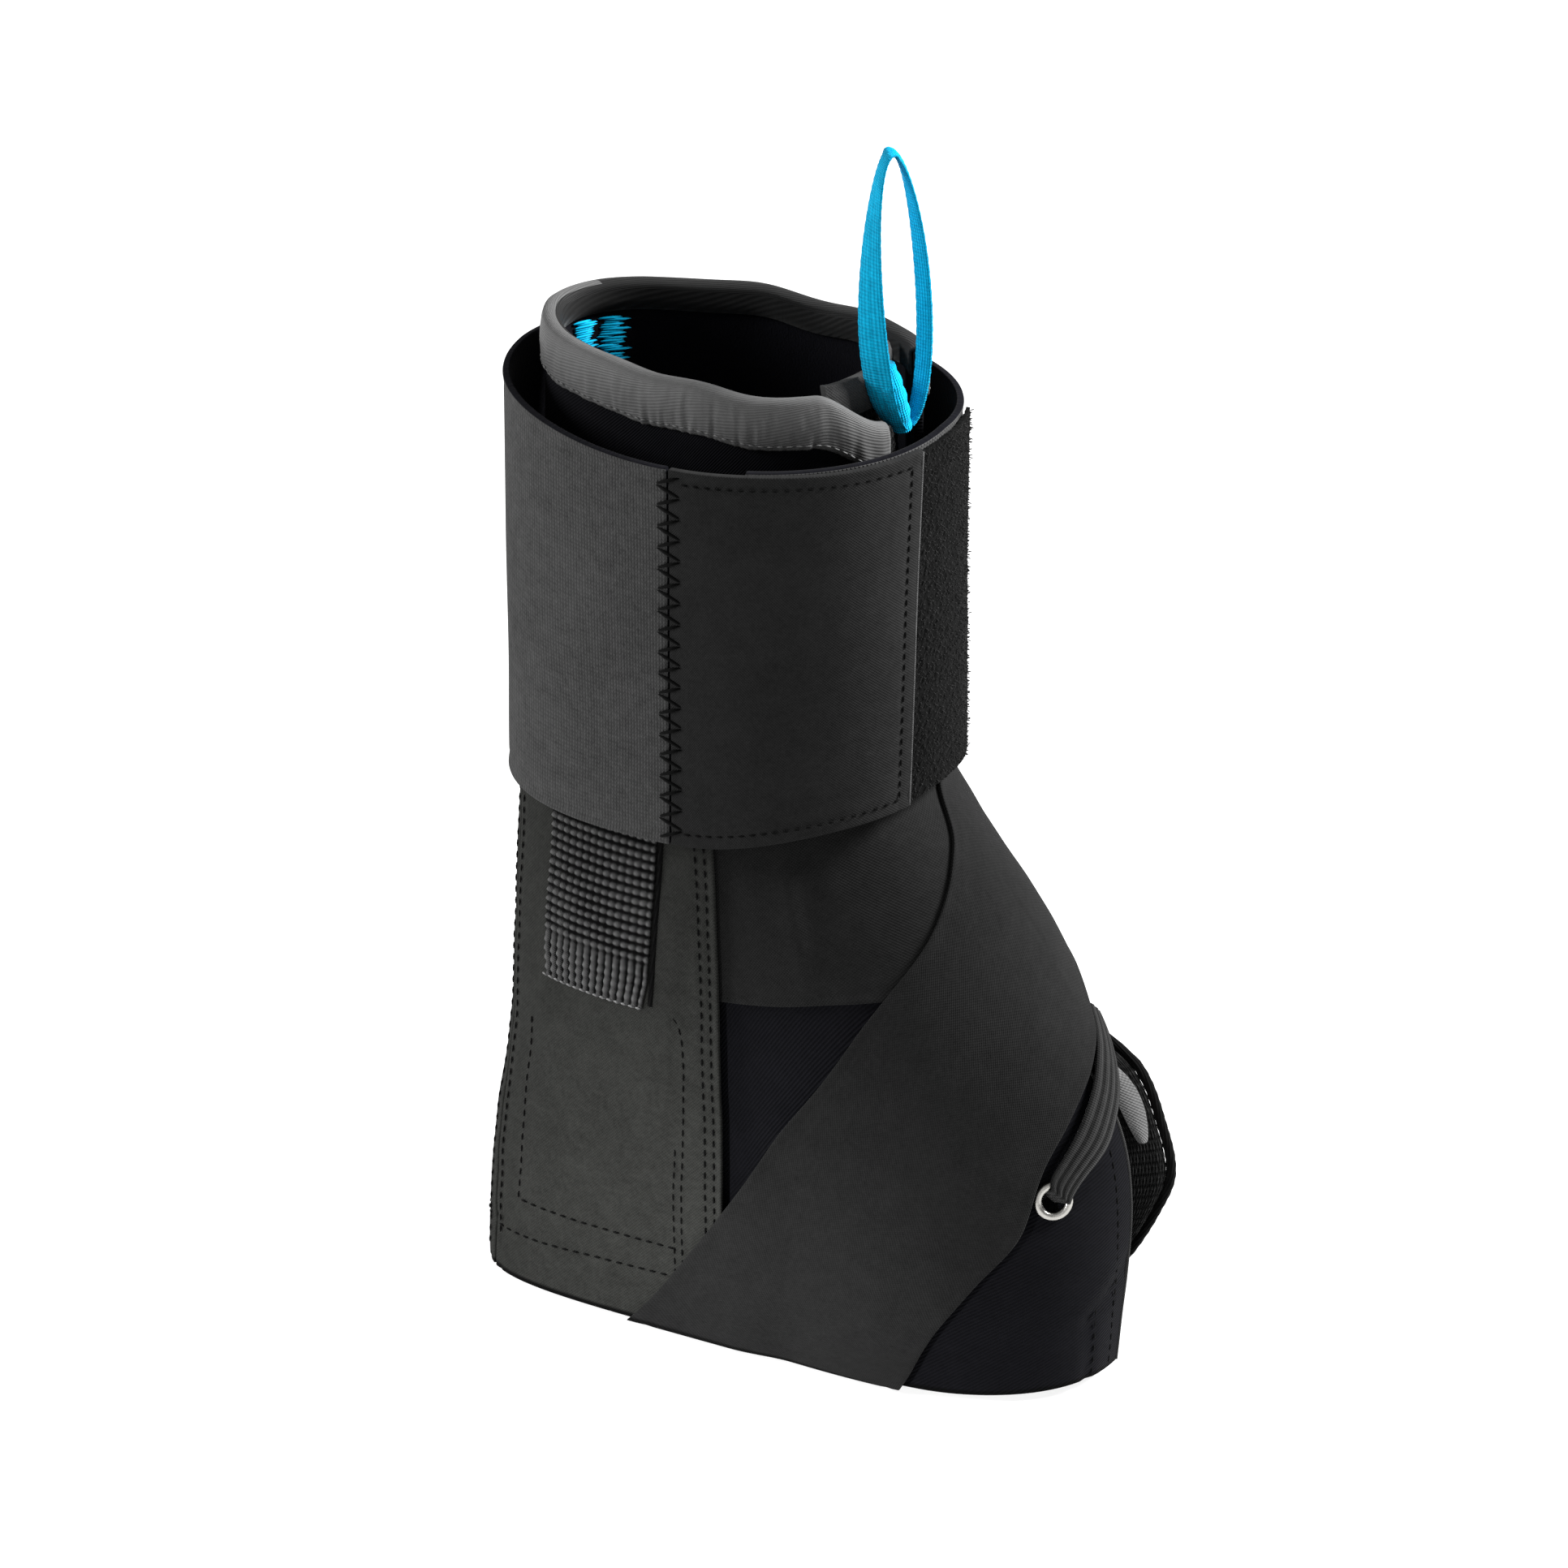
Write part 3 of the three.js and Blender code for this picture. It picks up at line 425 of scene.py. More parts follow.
def start_material(name: str) -> tuple[bpy.types.Material, Wiring, bpy.types.Node]:
    """A new node material, the wiring of its tree and its shader."""
    made = bpy.data.materials.new(name)
    made.use_nodes = True
    return made, Wiring(made.node_tree), made.node_tree.nodes["Principled BSDF"]


@dataclass(frozen=True)
class ClothFinish:
    """A cloth: its two shades, its weave and how it takes the light.

    The thread's width and the weave's depth are in millimetres. Where hem_axis is set, a thin black
    line runs along the start of that axis of the chart. Relief darkens the low places of a piece's
    relief attribute and lightens its high ones: painted shade.
    """

    name: str
    slot: str
    dark: Colour
    light: Colour
    weave: Weave = Weave.PLAIN
    thread: float = 0.7
    depth: float = 0.12
    roughness: float = 0.85
    sheen: float = 0.01
    fibre: float = 0.9
    # Share by which the relief attribute paints shade into the piece's low places.
    relief: float = 0.0
    specular: float = 0.02
    hem_axis: Optional[int] = None

    def material(self) -> bpy.types.Material:
        """The node material of this cloth, built once."""
        made = bpy.data.materials.get(self.name)
        if made:
            return made
        made, wire, shader = start_material(self.name)
        shader.inputs["Sheen Weight"].default_value = self.sheen
        shader.inputs["Sheen Roughness"].default_value = 0.5
        shader.inputs["Specular IOR Level"].default_value = self.specular
        chart = wire.put("ShaderNodeUVMap", uv_map=CLOTH_MAP)
        spot = wire.put("ShaderNodeTexCoord")
        weave = wire.put("ShaderNodeGroup", node_tree=self.weave.group())
        wire.feed(weave.inputs["Cloth"], chart.outputs["UV"])
        weave.inputs["Threads per metre"].default_value = 1 / (self.thread * MM)
        wear = wire.put("ShaderNodeGroup", node_tree=wear_group())
        wire.feed(wear.inputs["Place"], spot.outputs["Object"])
        threads = weave.outputs["Height"]
        spread = wire.calc("SUBTRACT", weave.outputs["Fibre"], 0.5)
        fibre = wire.calc("MULTIPLY_ADD", spread, self.fibre * 2, 0.5)
        # Raised threads lighter and the gaps between them darker: painted shade of the weave; in the spacer
        # mesh partly its real open holes.
        tone = wire.calc("MULTIPLY_ADD", threads, 0.35, wire.calc("MULTIPLY", fibre, 0.4))
        tone = wire.calc("MULTIPLY_ADD", wear.outputs["Mask"], 0.25, tone)
        # High places of the piece's relief lighter and low places darker: painted shade.
        if self.relief:
            shape = wire.put("ShaderNodeAttribute", attribute_name=RELIEF)
            raised = wire.calc("SUBTRACT", shape.outputs["Fac"], 0.5)
            tone = wire.calc("MULTIPLY_ADD", raised, self.relief, tone)
        colour = wire.mix(wire.clamp(tone), (*self.dark, 1.0), (*self.light, 1.0))
        if self.hem_axis is not None:
            split = wire.put("ShaderNodeSeparateXYZ")
            wire.feed(split.inputs[0], chart.outputs["UV"])
            above = wire.calc("MULTIPLY_ADD", split.outputs[self.hem_axis], 1 / (HEM_WIDTH * MM), -1.2)
            colour = wire.mix(wire.clamp(above), HEM_BLACK, colour)
        wire.feed(shader.inputs["Base Color"], colour)
        rough = wire.calc("MULTIPLY_ADD", threads, -0.08, self.roughness + 0.04)
        wire.feed(shader.inputs["Roughness"], wire.clamp(rough))
        bump = wire.put("ShaderNodeBump")
        bump.inputs["Distance"].default_value = self.depth * MM
        bump.inputs["Strength"].default_value = 1.0
        wire.feed(bump.inputs["Height"], wire.calc("MULTIPLY_ADD", weave.outputs["Fibre"], 0.8, threads))
        wire.feed(shader.inputs["Normal"], bump.outputs["Normal"])
        return made


@dataclass(frozen=True)
class MetalFinish:
    """A pressed metal ring with fine scratches."""

    name: str
    slot: str
    colour: Colour
    roughness: float = 0.22

    def material(self) -> bpy.types.Material:
        """The node material of this metal, built once."""
        made = bpy.data.materials.get(self.name)
        if made:
            return made
        made, wire, shader = start_material(self.name)
        shader.inputs["Metallic"].default_value = 1.0
        spot = wire.put("ShaderNodeTexCoord")
        scratch = wire.noise(spot.outputs["Object"], 1400.0, 4.0)
        dull = tuple(c * 0.72 for c in self.colour)
        wire.feed(shader.inputs["Base Color"], wire.mix(scratch, (*dull, 1.0), (*self.colour, 1.0)))
        wire.feed(shader.inputs["Roughness"], wire.calc("MULTIPLY_ADD", scratch, 0.25, self.roughness - 0.1))
        bump = wire.put("ShaderNodeBump")
        bump.inputs["Distance"].default_value = 0.02 * MM
        wire.feed(bump.inputs["Height"], scratch)
        wire.feed(shader.inputs["Normal"], bump.outputs["Normal"])
        return made


def grey(value: float, tint: Sequence[float] = (1.0, 1.0, 1.0)) -> Colour:
    """A linear grey with a tint."""
    return tuple(value * t for t in tint)


def sewing_thread(name: str, slot: str, dark: float, light: float) -> ClothFinish:
    """Finish of a twisted sewing thread in two greys."""
    return ClothFinish(name, slot, grey(dark), grey(light), Weave.BRAID, thread=0.4)


class Finish:
    """Every finish of the brace."""

    LINING = ClothFinish(
        "black_lining_knit", "boot_lining_fabric",
        grey(0.0012, (0.9, 0.9, 1.25)), grey(0.006, (0.9, 0.9, 1.3)),
        Weave.PILE, thread=0.8, depth=0.2, sheen=0.02, roughness=0.95,
    )
    FLAP = ClothFinish(
        "black_flap_twill", "boot_lining_fabric",
        grey(0.0014, (0.95, 0.95, 1.25)), grey(0.0062, (0.95, 0.95, 1.2)),
        Weave.TWILL, thread=0.9, depth=0.14, hem_axis=1,
    )
    FLAP_EDGE = ClothFinish(
        "turned_flap_edge", "boot_lining_fabric", grey(0.014), grey(0.045), thread=0.6, depth=0.1,
    )
    SOLE = ClothFinish("sole_cloth", "sole_fabric", grey(0.006), grey(0.02), thread=1.0, depth=0.2)
    BINDING = ClothFinish(
        "grey_satin_tape", "satin_binding", grey(0.034), grey(0.1), Weave.SATIN,
        thread=0.6, depth=0.06, roughness=0.55, sheen=0.05, fibre=0.5, specular=0.15,
    )
    # A darker copy of the grey satin tape, for its inner face and its far rim: painted shade, not a
    # different tape.
    BINDING_PAINTED_SHADE = ClothFinish(
        "satin_tape_painted_shade", "satin_binding", grey(0.003), grey(0.014), Weave.SATIN,
        thread=0.6, depth=0.06, roughness=0.6, sheen=0.04, fibre=0.5, specular=0.08,
    )
    MESH = ClothFinish(
        "black_spacer_mesh", "tongue_mesh", grey(0.0005), grey(0.013), Weave.MESH,
        thread=1.7, depth=0.5, roughness=0.7, sheen=0.02, relief=0.9,
    )
    TONGUE_TOP = ClothFinish(
        "grey_tongue_cloth", "tongue_mesh", grey(0.018), grey(0.055), thread=0.8, depth=0.1,
    )
    ROLLED = ClothFinish(
        "black_rolled_edge", "black_binding", grey(0.001), grey(0.005), Weave.SATIN, thread=0.8,
    )
    RIBBON = ClothFinish(
        "blue_woven_ribbon", "blue_ribbon", (0.0005, 0.1, 0.19), (0.002, 0.46, 0.76), Weave.BRAID,
        thread=1.3, depth=0.25, roughness=0.65, sheen=0.03, fibre=1.0,
    )
    PANEL = ClothFinish(
        "coated_panel_cloth", "panel_fabric",
        grey(0.0065, (1.0, 1.02, 0.95)), grey(0.029, (1.0, 1.02, 0.95)),
        thread=0.8, depth=0.09, fibre=1.3, hem_axis=1,
    )
    WEBBING = ClothFinish(
        "coarse_basket_webbing", "basket_webbing", grey(0.0006), grey(0.09), thread=0.5, depth=0.08,
        roughness=0.7, relief=1.3,
    )
    STRAP = ClothFinish(
        "strap_loop_cloth", "strap_fabric", grey(0.004), grey(0.0135), thread=0.75, depth=0.1,
        sheen=0.03, fibre=1.2, hem_axis=0,
    )
    KNIT = ClothFinish(
        "ribbed_elastic_knit", "cuff_knit", grey(0.016), grey(0.064), Weave.KNIT,
        thread=0.95, depth=0.16, sheen=0.04, roughness=0.95, fibre=1.5,
    )
    TAB = ClothFinish(
        "smooth_tab_cloth", "tab_fabric", grey(0.005), grey(0.022), thread=0.7, depth=0.1, fibre=1.0,
    )
    PILE = ClothFinish(
        "rough_hook_pile", "hook_pile", grey(0.0006), grey(0.005), Weave.PILE,
        thread=1.3, depth=0.7, roughness=0.8, sheen=0.01, fibre=2.0,
    )
    HOOKS = ClothFinish("pale_hook_tips", "hook_pile", grey(0.0005), grey(0.032), Weave.PILE, fibre=2.0)
    LACE = ClothFinish(
        "flat_lace_braid", "lace_braid", grey(0.0025), grey(0.018), Weave.BRAID,
        thread=1.0, depth=0.15, roughness=0.7, sheen=0.08, relief=0.9,
    )
    LOOP_TAPE = ClothFinish(
        "light_loop_tape", "grey_webbing", grey(0.045), grey(0.13), thread=1.0, depth=0.15, sheen=0.05,
    )
    DARK_THREAD = sewing_thread("dark_thread", "panel_fabric", 0.001, 0.006)
    TAB_THREAD = sewing_thread("tab_thread", "tab_fabric", 0.001, 0.006)
    LIGHT_THREAD = sewing_thread("light_thread", "basket_webbing", 0.08, 0.22)
    BINDING_THREAD = sewing_thread("binding_thread", "satin_binding", 0.07, 0.16)
    PALE_EDGE = ClothFinish("pale_cut_edge", "tab_fabric", grey(0.02), grey(0.1), thread=0.5, fibre=2.0)
    RING = MetalFinish("nickel_ring", "eyelet_metal", (0.5, 0.49, 0.46))


def charted_mesh() -> bmesh.types.BMesh:
    """An empty mesh with the cloth's UV map."""
    bm = bmesh.new()
    bm.loops.layers.uv.new(CLOTH_MAP)
    return bm


def finished(bm: bmesh.types.BMesh, name: str, finishes: Sequence[object]) -> bpy.types.Object:
    """Turns a bmesh in millimetres into a piece in metres, with its finishes.

    Args:
        bm: The mesh, which is freed.
        name: Name of the piece.
        finishes: Its finishes, in the order of the material indices.

    Returns:
        The new object, riding on the frame's body.
    """
    bmesh.ops.scale(bm, vec=(MM, MM, MM), verts=bm.verts)
    for face in bm.faces:
        face.smooth = True
    mesh = bpy.data.meshes.new(name)
    bm.to_mesh(mesh)
    bm.free()
    piece = bpy.data.objects.new(name, mesh)
    bpy.context.scene.collection.objects.link(piece)
    for finish in finishes:
        mesh.materials.append(finish.material())
    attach(piece, BODY)
    return piece


@dataclass
class Cloth:
    """A sheet of cloth laid on a surface.

    Once it is built, flat holds its mean length along and across, in metres.

    Args:
        name: Name of the piece.
        place: Gives the point at a share along, a share across and an offset outwards.
        along: Steps along the sheet.
        across: Steps across the sheet.
        finish: Finish of the outer face.
        thickness: Thickness inwards from the outer face, or 0 for a closed form.
        lining: Finish of the inner face, where it differs.
        relief: Raises the outer face, in millimetres, and is kept as an attribute, from which a finish may
            paint shade into the low places.
        relief_reach: Largest relief, which the attribute counts as 1.
        closed: Whether the second direction closes on itself, as a tube does.
        edge: Width of the rounding of the cut edges, in millimetres, or 0 for none.
        lined_rim: Whether the cut edges take the lining's finish.
        keep: Says whether a face stays, from the shares of its middle.
    """

    name: str
    place: Place
    along: int
    across: int
    finish: ClothFinish
    thickness: float = 0.0
    lining: Optional[ClothFinish] = None
    relief: Optional[Callable[[float, float], float]] = None
    relief_reach: float = 1.0
    closed: bool = False
    edge: float = 0.22
    lined_rim: bool = False
    keep: Optional[Callable[[float, float], bool]] = None
    flat: tuple[float, float] = field(default=(0.0, 0.0), init=False)

    def measure(self) -> tuple[float, float]:
        """Mean length along and across the sheet, in metres."""
        steps = 24
        along = 0.0
        across = 0.0
        for k in range(3):
            share = (k + 0.5) / 3
            for i in range(steps):
                a, b = i / steps, (i + 1) / steps
                along += (self.place(b, share, 0) - self.place(a, share, 0)).length / 3
                across += (self.place(share, b, 0) - self.place(share, a, 0)).length / 3
        return along * MM, across * MM

    def build(self) -> bpy.types.Object:
        """Makes the piece.

        Returns:
            The finished object.
        """
        self.flat = self.measure()
        bm = bmesh.new()
        bmesh.ops.create_grid(bm, x_segments=self.along, y_segments=self.across, size=0.5)
        chart = bm.loops.layers.uv.new(CLOTH_MAP)
        raised = bm.verts.layers.float.new(RELIEF)
        shares = {}
        for vert in bm.verts:
            shares[vert] = (vert.co.x + 0.5, vert.co.y + 0.5)
        for face in bm.faces:
            for loop in face.loops:
                u, w = shares[loop.vert]
                loop[chart].uv = (u * self.flat[0], w * self.flat[1])
        middle = self.place(0.5, 0.5, 0.0)
        outward = self.place(0.5, 0.5, 1.0) - middle
        ahead = self.place(0.51, 0.5, 0.0) - middle
        sideways = self.place(0.5, 0.51, 0.0) - middle
        for vert in bm.verts:
            u, w = shares[vert]
            lift = self.relief(u, w) if self.relief else 0.0
            vert[raised] = lift / self.relief_reach
            vert.co = self.place(u, w, lift)
        if ahead.cross(sideways).dot(outward) < 0:
            bmesh.ops.reverse_faces(bm, faces=bm.faces)
        if self.keep:
            gone = [f for f in bm.faces if not self.keep(*self.centre(f, shares))]
            bmesh.ops.delete(bm, geom=gone, context="FACES")
        if self.closed:
            bmesh.ops.remove_doubles(bm, verts=bm.verts, dist=1e-4)
            rims = [e for e in bm.edges if e.is_boundary]
            bmesh.ops.holes_fill(bm, edges=rims, sides=0)
        piece = finished(bm, self.name, [self.finish] + ([self.lining] if self.lining else []))
        if self.thickness:
            self.thicken(piece)
        return piece

    @staticmethod
    def centre(face: bmesh.types.BMFace, shares: dict) -> tuple[float, float]:
        """Mean shares of a face's corners."""
        corners = [shares[v] for v in face.verts]
        return sum(c[0] for c in corners) / len(corners), sum(c[1] for c in corners) / len(corners)

    def thicken(self, piece: bpy.types.Object) -> None:
        """Gives the sheet its wall and rounds its cut edges."""
        wall = piece.modifiers.new("wall", "SOLIDIFY")
        wall.thickness = self.thickness * MM
        wall.offset = -1.0
        wall.use_even_offset = True
        if self.lining:
            wall.material_offset = 1
            wall.material_offset_rim = 1 if self.lined_rim else 0
        if self.edge:
            round_edge = piece.modifiers.new("round_edge", "BEVEL")
            round_edge.width = self.edge * MM
            round_edge.segments = 2
            round_edge.limit_method = "ANGLE"
            round_edge.angle_limit = math.radians(50)


@dataclass(frozen=True)
class Thread:
    """Sewing thread, laid down as rows of single stitches, with its sizes in millimetres."""

    finish: ClothFinish
    length: float = 2.1
    pitch: float = 2.9
    radius: float = 0.3

    def stitch(self, bm: bmesh.types.BMesh, start: Vector, end: Vector, out: Vector) -> None:
        """Adds one stitch between two points."""
        ahead = end - start
        reach = ahead.length / 2
        ahead.normalize()
        side = ahead.cross(out).normalized()
        up = side.cross(ahead)
        turn = Matrix((ahead, side, up)).transposed().to_4x4()
        size = Matrix.Diagonal((reach, self.radius, self.radius * 0.8, 1.0))
        place = Matrix.Translation((start + end) / 2) @ turn @ size
        bmesh.ops.create_icosphere(bm, subdivisions=1, radius=1.0, matrix=place)

    def row(self, bm: bmesh.types.BMesh, seam: Seam) -> None:
        """Adds a row of stitches along a seam."""
        samples = 160
        points = [seam(i / samples) for i in range(samples + 1)]
        reach = [0.0]
        for (a, _), (b, _) in zip(points, points[1:]):
            reach.append(reach[-1] + (b - a).length)
        count = max(1, int(reach[-1] / self.pitch))
        gap = (reach[-1] / count - self.length) / 2

        def at(distance: float) -> tuple[Vector, Vector]:
            """Point and direction outwards at a distance along the seam."""
            i = 0
            while i < samples - 1 and reach[i + 1] < distance:
                i += 1
            share = (distance - reach[i]) / max(1e-6, reach[i + 1] - reach[i])
            return points[i][0].lerp(points[i + 1][0], share), points[i][1]

        for k in range(count):
            begin = k * reach[-1] / count + gap
            start, out = at(begin)
            end, _ = at(begin + self.length)
            self.stitch(bm, start, end, out)

    def sew(self, name: str, seams: Sequence[Seam]) -> bpy.types.Object:
        """Sews rows of stitches as one piece."""
        bm = charted_mesh()
        for seam in seams:
            self.row(bm, seam)
        return finished(bm, name, [self.finish])

    def zigzag(self, name: str, places: Sequence[tuple[Vector, Vector]]) -> bpy.types.Object:
        """Sews one thread from point to point, as a zigzag or a satin patch."""
        bm = charted_mesh()
        for (start, out), (end, _) in zip(places, places[1:]):
            self.stitch(bm, start, end, out)
        return finished(bm, name, [self.finish])


def tube(
    name: str,
    path: Callable[[float], Vector],
    facing: Callable[[float], Vector],
    radii: Callable[[float], tuple[float, float]],
    steps: int,
    sides: int,
    finish: ClothFinish,
    surface: Optional[Callable[[float, float], float]] = None,
) -> bpy.types.Object:
    """Sweeps an oval section along a path, with closed ends.

    Args:
        name: Name of the piece.
        path: Point at a share of the way along.
        facing: Direction that the section's second radius follows.
        radii: The section's two radii at a share of the way along.
        steps: Steps along the path.
        sides: Steps round the section.
        finish: Its finish.
        surface: Raises the surface at a share along and a share round.

    Returns:
        The finished object.
    """

    def place(u: float, w: float, offset: float) -> Vector:
        """Point of the swept surface."""
        a, b = max(0.0, u - 0.004), min(1.0, u + 0.004)
        ahead = (path(b) - path(a)).normalized()
        side = ahead.cross(facing(u)).normalized()
        up = side.cross(ahead)
        wide, thick = radii(u)
        swing = 2 * math.pi * w
        raised = offset + (surface(u, w) if surface else 0.0)
        reach = side * (math.cos(swing) * (wide + raised)) + up * (math.sin(swing) * (thick + raised))
        return path(u) + reach

    return Cloth(name, place, steps, sides, finish, closed=True).build()


@dataclass
class Boot:
    """The boot itself: wall, sole, collar binding and the edge of the toe opening.

    The flap rows are: turn, then the lower and upper end of an upright row of stitches. The patch
    inside the collar lies between two drops below the boot's height and between two turns.
    """

    form: BootForm
    eyelet_height: float = 51.0
    near_eyelet: float = -16.0
    far_eyelet: float = 8.0
    sole_front: float = 72.0
    sole_thickness: float = 2.2
    binding_drop: float = 11.0
    binding_inside: float = 6.0
    binding_thickness: float = 0.8
    clearance: float = 0.4
    hole_radius: float = 2.9
    # Turns between which the tape's rim takes the darker copy: painted shade.
    painted_shade_turns: tuple = (4.0, 168.0)
    near_edge_top: float = 92.0
    far_edge_top: float = 88.0
    flap_rows: tuple = ((-9.6, 3, 22), (-4.6, 4, 66), (17.5, 4, 60), (24, 3, 22))
    patch_rows: int = 24
    patch_drops: tuple = (25.0, 11.5)
    patch_turns: tuple = (176.0, 162.0)

    def wall(self) -> bpy.types.Object:
        """Builds the wall, with its soft folds round the toe and its eyelet holes."""
        form = self.form

        def spot(u: float, v: float) -> tuple[float, float]:
            """Turn and height at shares of the wall."""
            turn = signed(form.wall_turn(u, v * form.height))
            height = lerp(form.hem(turn), form.collar(turn), v)
            return form.wall_turn(u, height), height

        def folds(turn: float, height: float) -> float:
            """Creases of the flap above its hem, and the pull of the eyelet."""
            crease = (height - 19) - (signed(turn) + 11) * 1.1
            near = hump(signed(turn), -7, 9) * hump(height, 24, 12)
            fold = -0.9 * near * hump(crease, 0, 2.4) + 0.5 * near * hump(crease, 4, 2.8)
            seam = -0.45 * hump(signed(turn), -11, 0.5) * smooth((24 - height) / 4)
            return fold + seam

        def place(u: float, v: float, offset: float) -> Vector:
            """Point of the wall."""
            turn, height = spot(u, v)
            return form.point(turn, height, offset + folds(turn, height))

        holes = [self.seat(self.near_eyelet)[0], self.seat(self.far_turn())[0]]

        def keep(u: float, v: float) -> bool:
            """Whether a face is clear of the eyelet holes."""
            point = place(u, v, 0.0)
            return all((point - hole).length > self.hole_radius for hole in holes)

        cloth = Cloth(
            "boot_wall", place, 210, 84, Finish.FLAP, form.wall, lining=Finish.LINING, keep=keep, edge=0.5,
        )
        piece = cloth.build()
        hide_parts("boot_body")
        return piece

    def far_turn(self) -> float:
        """Turn of the far eyelet, counted from the far edge of the opening."""
        return self.form.throat(2, self.eyelet_height) + self.far_eyelet

    def seat(self, turn: float) -> tuple[Vector, Vector]:
        """Centre and outward direction of an eyelet at a turn."""
        form = self.form
        height = self.eyelet_height
        step = 0.5
        around = form.bare_point(turn + step, height, 0) - form.bare_point(turn - step, height, 0)
        rise = form.bare_point(turn, height + step, 0) - form.bare_point(turn, height - step, 0)
        return form.point(turn, height, 0.0), around.cross(rise).normalized()

    def sole(self) -> bpy.types.Object:
        """Builds the flat sole between the walls."""
        form = self.form
        corner = math.atan2(form.half_width, self.sole_front - form.section(0)[3]) * 0.8
        steps = 90
        bm = bmesh.new()
        chart = bm.loops.layers.uv.new(CLOTH_MAP)
        rim = []
        for i in range(steps + 1):
            turn = form.wall_turn(i / steps, 0)
            if abs(math.radians(signed(turn))) > corner:
                point = form.bare_point(turn, 0, -form.wall - self.clearance)
                rim.append(bm.verts.new((min(point.x, self.sole_front), point.y, 0.05)))
        face = bm.faces.new(rim)
        bmesh.ops.remove_doubles(bm, verts=bm.verts, dist=0.05)
        area = face.calc_area() * MM**2
        grown = bmesh.ops.extrude_face_region(bm, geom=[face])
        tops = [g for g in grown["geom"] if isinstance(g, bmesh.types.BMVert)]
        bmesh.ops.translate(bm, vec=(0, 0, self.sole_thickness - 0.1), verts=tops)
        bmesh.ops.recalc_face_normals(bm, faces=bm.faces)
        for part in bm.faces:
            for loop in part.loops:
                loop[chart].uv = (loop.vert.co.x * MM, loop.vert.co.y * MM)
        piece = finished(bm, "flat_sole", [Finish.SOLE])
        soft = piece.modifiers.new("round_edge", "BEVEL")
        soft.width = 0.4 * MM
        soft.segments = 2
        soft.limit_method = "ANGLE"
        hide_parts("sole")
        return piece

    def in_painted_shade(self, middle: Vector) -> bool:
        """Whether a place on the tape, in metres, is within the wall or on the far rim, where the tape is
        painted darker as painted shade.
        """
        form = self.form
        turn = math.degrees(math.atan2(middle.y, middle.x - 0.004))
        top = form.collar(turn) * MM
        wall = form.bare_point(turn, middle.z / MM, -form.wall / 2) * MM
        within = middle.xy.length < wall.xy.length
        inner = within and middle.z < top + 0.0006
        rim = within or middle.z > top + 0.0008
        return inner or (rim and self.painted_shade_turns[0] < turn < self.painted_shade_turns[1])

    def binding(self) -> list[bpy.types.Object]:
        """Builds the satin tape folded over the collar, and its row of stitches."""
        form = self.form
        outside = self.clearance + self.binding_thickness
        inside = -form.wall - self.clearance
        rows = (
            (-self.binding_drop, outside - 0.5),
            (-self.binding_drop + 0.6, outside),
            (-self.binding_drop * 0.75, outside + 0.25),
            (-self.binding_drop * 0.5, outside + 0.45),
            (-self.binding_drop * 0.25, outside + 0.35),
            (-0.8, outside + 0.05),
            (0.5, outside - 0.35),
            (self.clearance + self.binding_thickness, (outside + inside) / 2 + 0.6),
            (self.clearance + self.binding_thickness, (outside + inside) / 2 - 0.6),
            (0.3, inside - self.binding_thickness + 0.3),
            (-0.8, inside - self.binding_thickness),
            (-self.binding_inside, inside - self.binding_thickness),
        )

        def ripple(turn: float, drop: float) -> float:
            """Crinkles of the tape, strongest at its sewn lower edge."""
            crinkle = noise.noise(Vector((turn * 0.32, drop * 0.12, 3.0)))
            pucker = noise.noise(Vector((turn * 0.5, drop * 0.2, 9.0)))
            return 0.55 * crinkle + 0.35 * pucker * (0.4 + smooth(-drop / self.binding_drop))

        def place(u: float, v: float, offset: float) -> Vector:
            """Point of the tape's outer face."""
            at = v * (len(rows) - 1)
            i = min(int(at), len(rows) - 2)
            drop = lerp(rows[i][0], rows[i + 1][0], at - i)
            out = lerp(rows[i][1], rows[i + 1][1], at - i)
            turn = form.wall_turn(u, form.height)
            height = form.collar(signed(turn)) + drop
            lift = smooth(1 - v * 1.6) * ripple(turn, drop)
            sign = 1 if v < 0.65 else -1
            return form.point(form.wall_turn(u, height), height, out + sign * offset + lift)

        # The tape's inner face takes the darker copy of the tape: painted shade.
        cloth = Cloth(
            "collar_tape", place, 380, 22, Finish.BINDING, self.binding_thickness,
            lining=Finish.BINDING_PAINTED_SHADE, edge=0.0,
        )
        piece = cloth.build()
        # Faces within the wall and on the far rim take the darker copy too: painted shade.
        for face in piece.data.polygons:
            corners = [piece.data.vertices[i].co for i in face.vertices]
            if self.in_painted_shade(sum(corners, Vector()) / len(corners)):
                face.material_index = 1
        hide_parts("collar_binding")

        def seam(t: float) -> tuple[Vector, Vector]:
            """Point and outward direction of the row of stitches above the tape's lower edge."""
            drop = self.binding_drop - 1.3
            u = lerp(0.005, 0.995, t)
            turn = form.wall_turn(u, form.height)
            height = form.collar(signed(turn)) - drop
            lift = outside + 0.25 + ripple(turn, -drop)
            return form.face(form.wall_turn(u, height), height, lift)

        thread = Thread(Finish.BINDING_THREAD, length=1.7, pitch=2.2, radius=0.2)
        return [piece, thread.sew("collar_stitches", [seam])]

    def opening_edge(self, name: str, edge: int, top: float) -> bpy.types.Object:
        """Builds the rolled near (1) or far (2) edge of the front opening, up to a height."""
        form = self.form
        step = -0.5 if edge == 1 else 0.5

        def path(t: float) -> Vector:
            """Point of the rolled edge."""
            turn = form.throat(edge, lerp(3, top, t))
            height = lerp(form.hem(turn) + 0.6, top, t)
            return form.point(form.throat(edge, height) + step, height, -form.wall / 2)

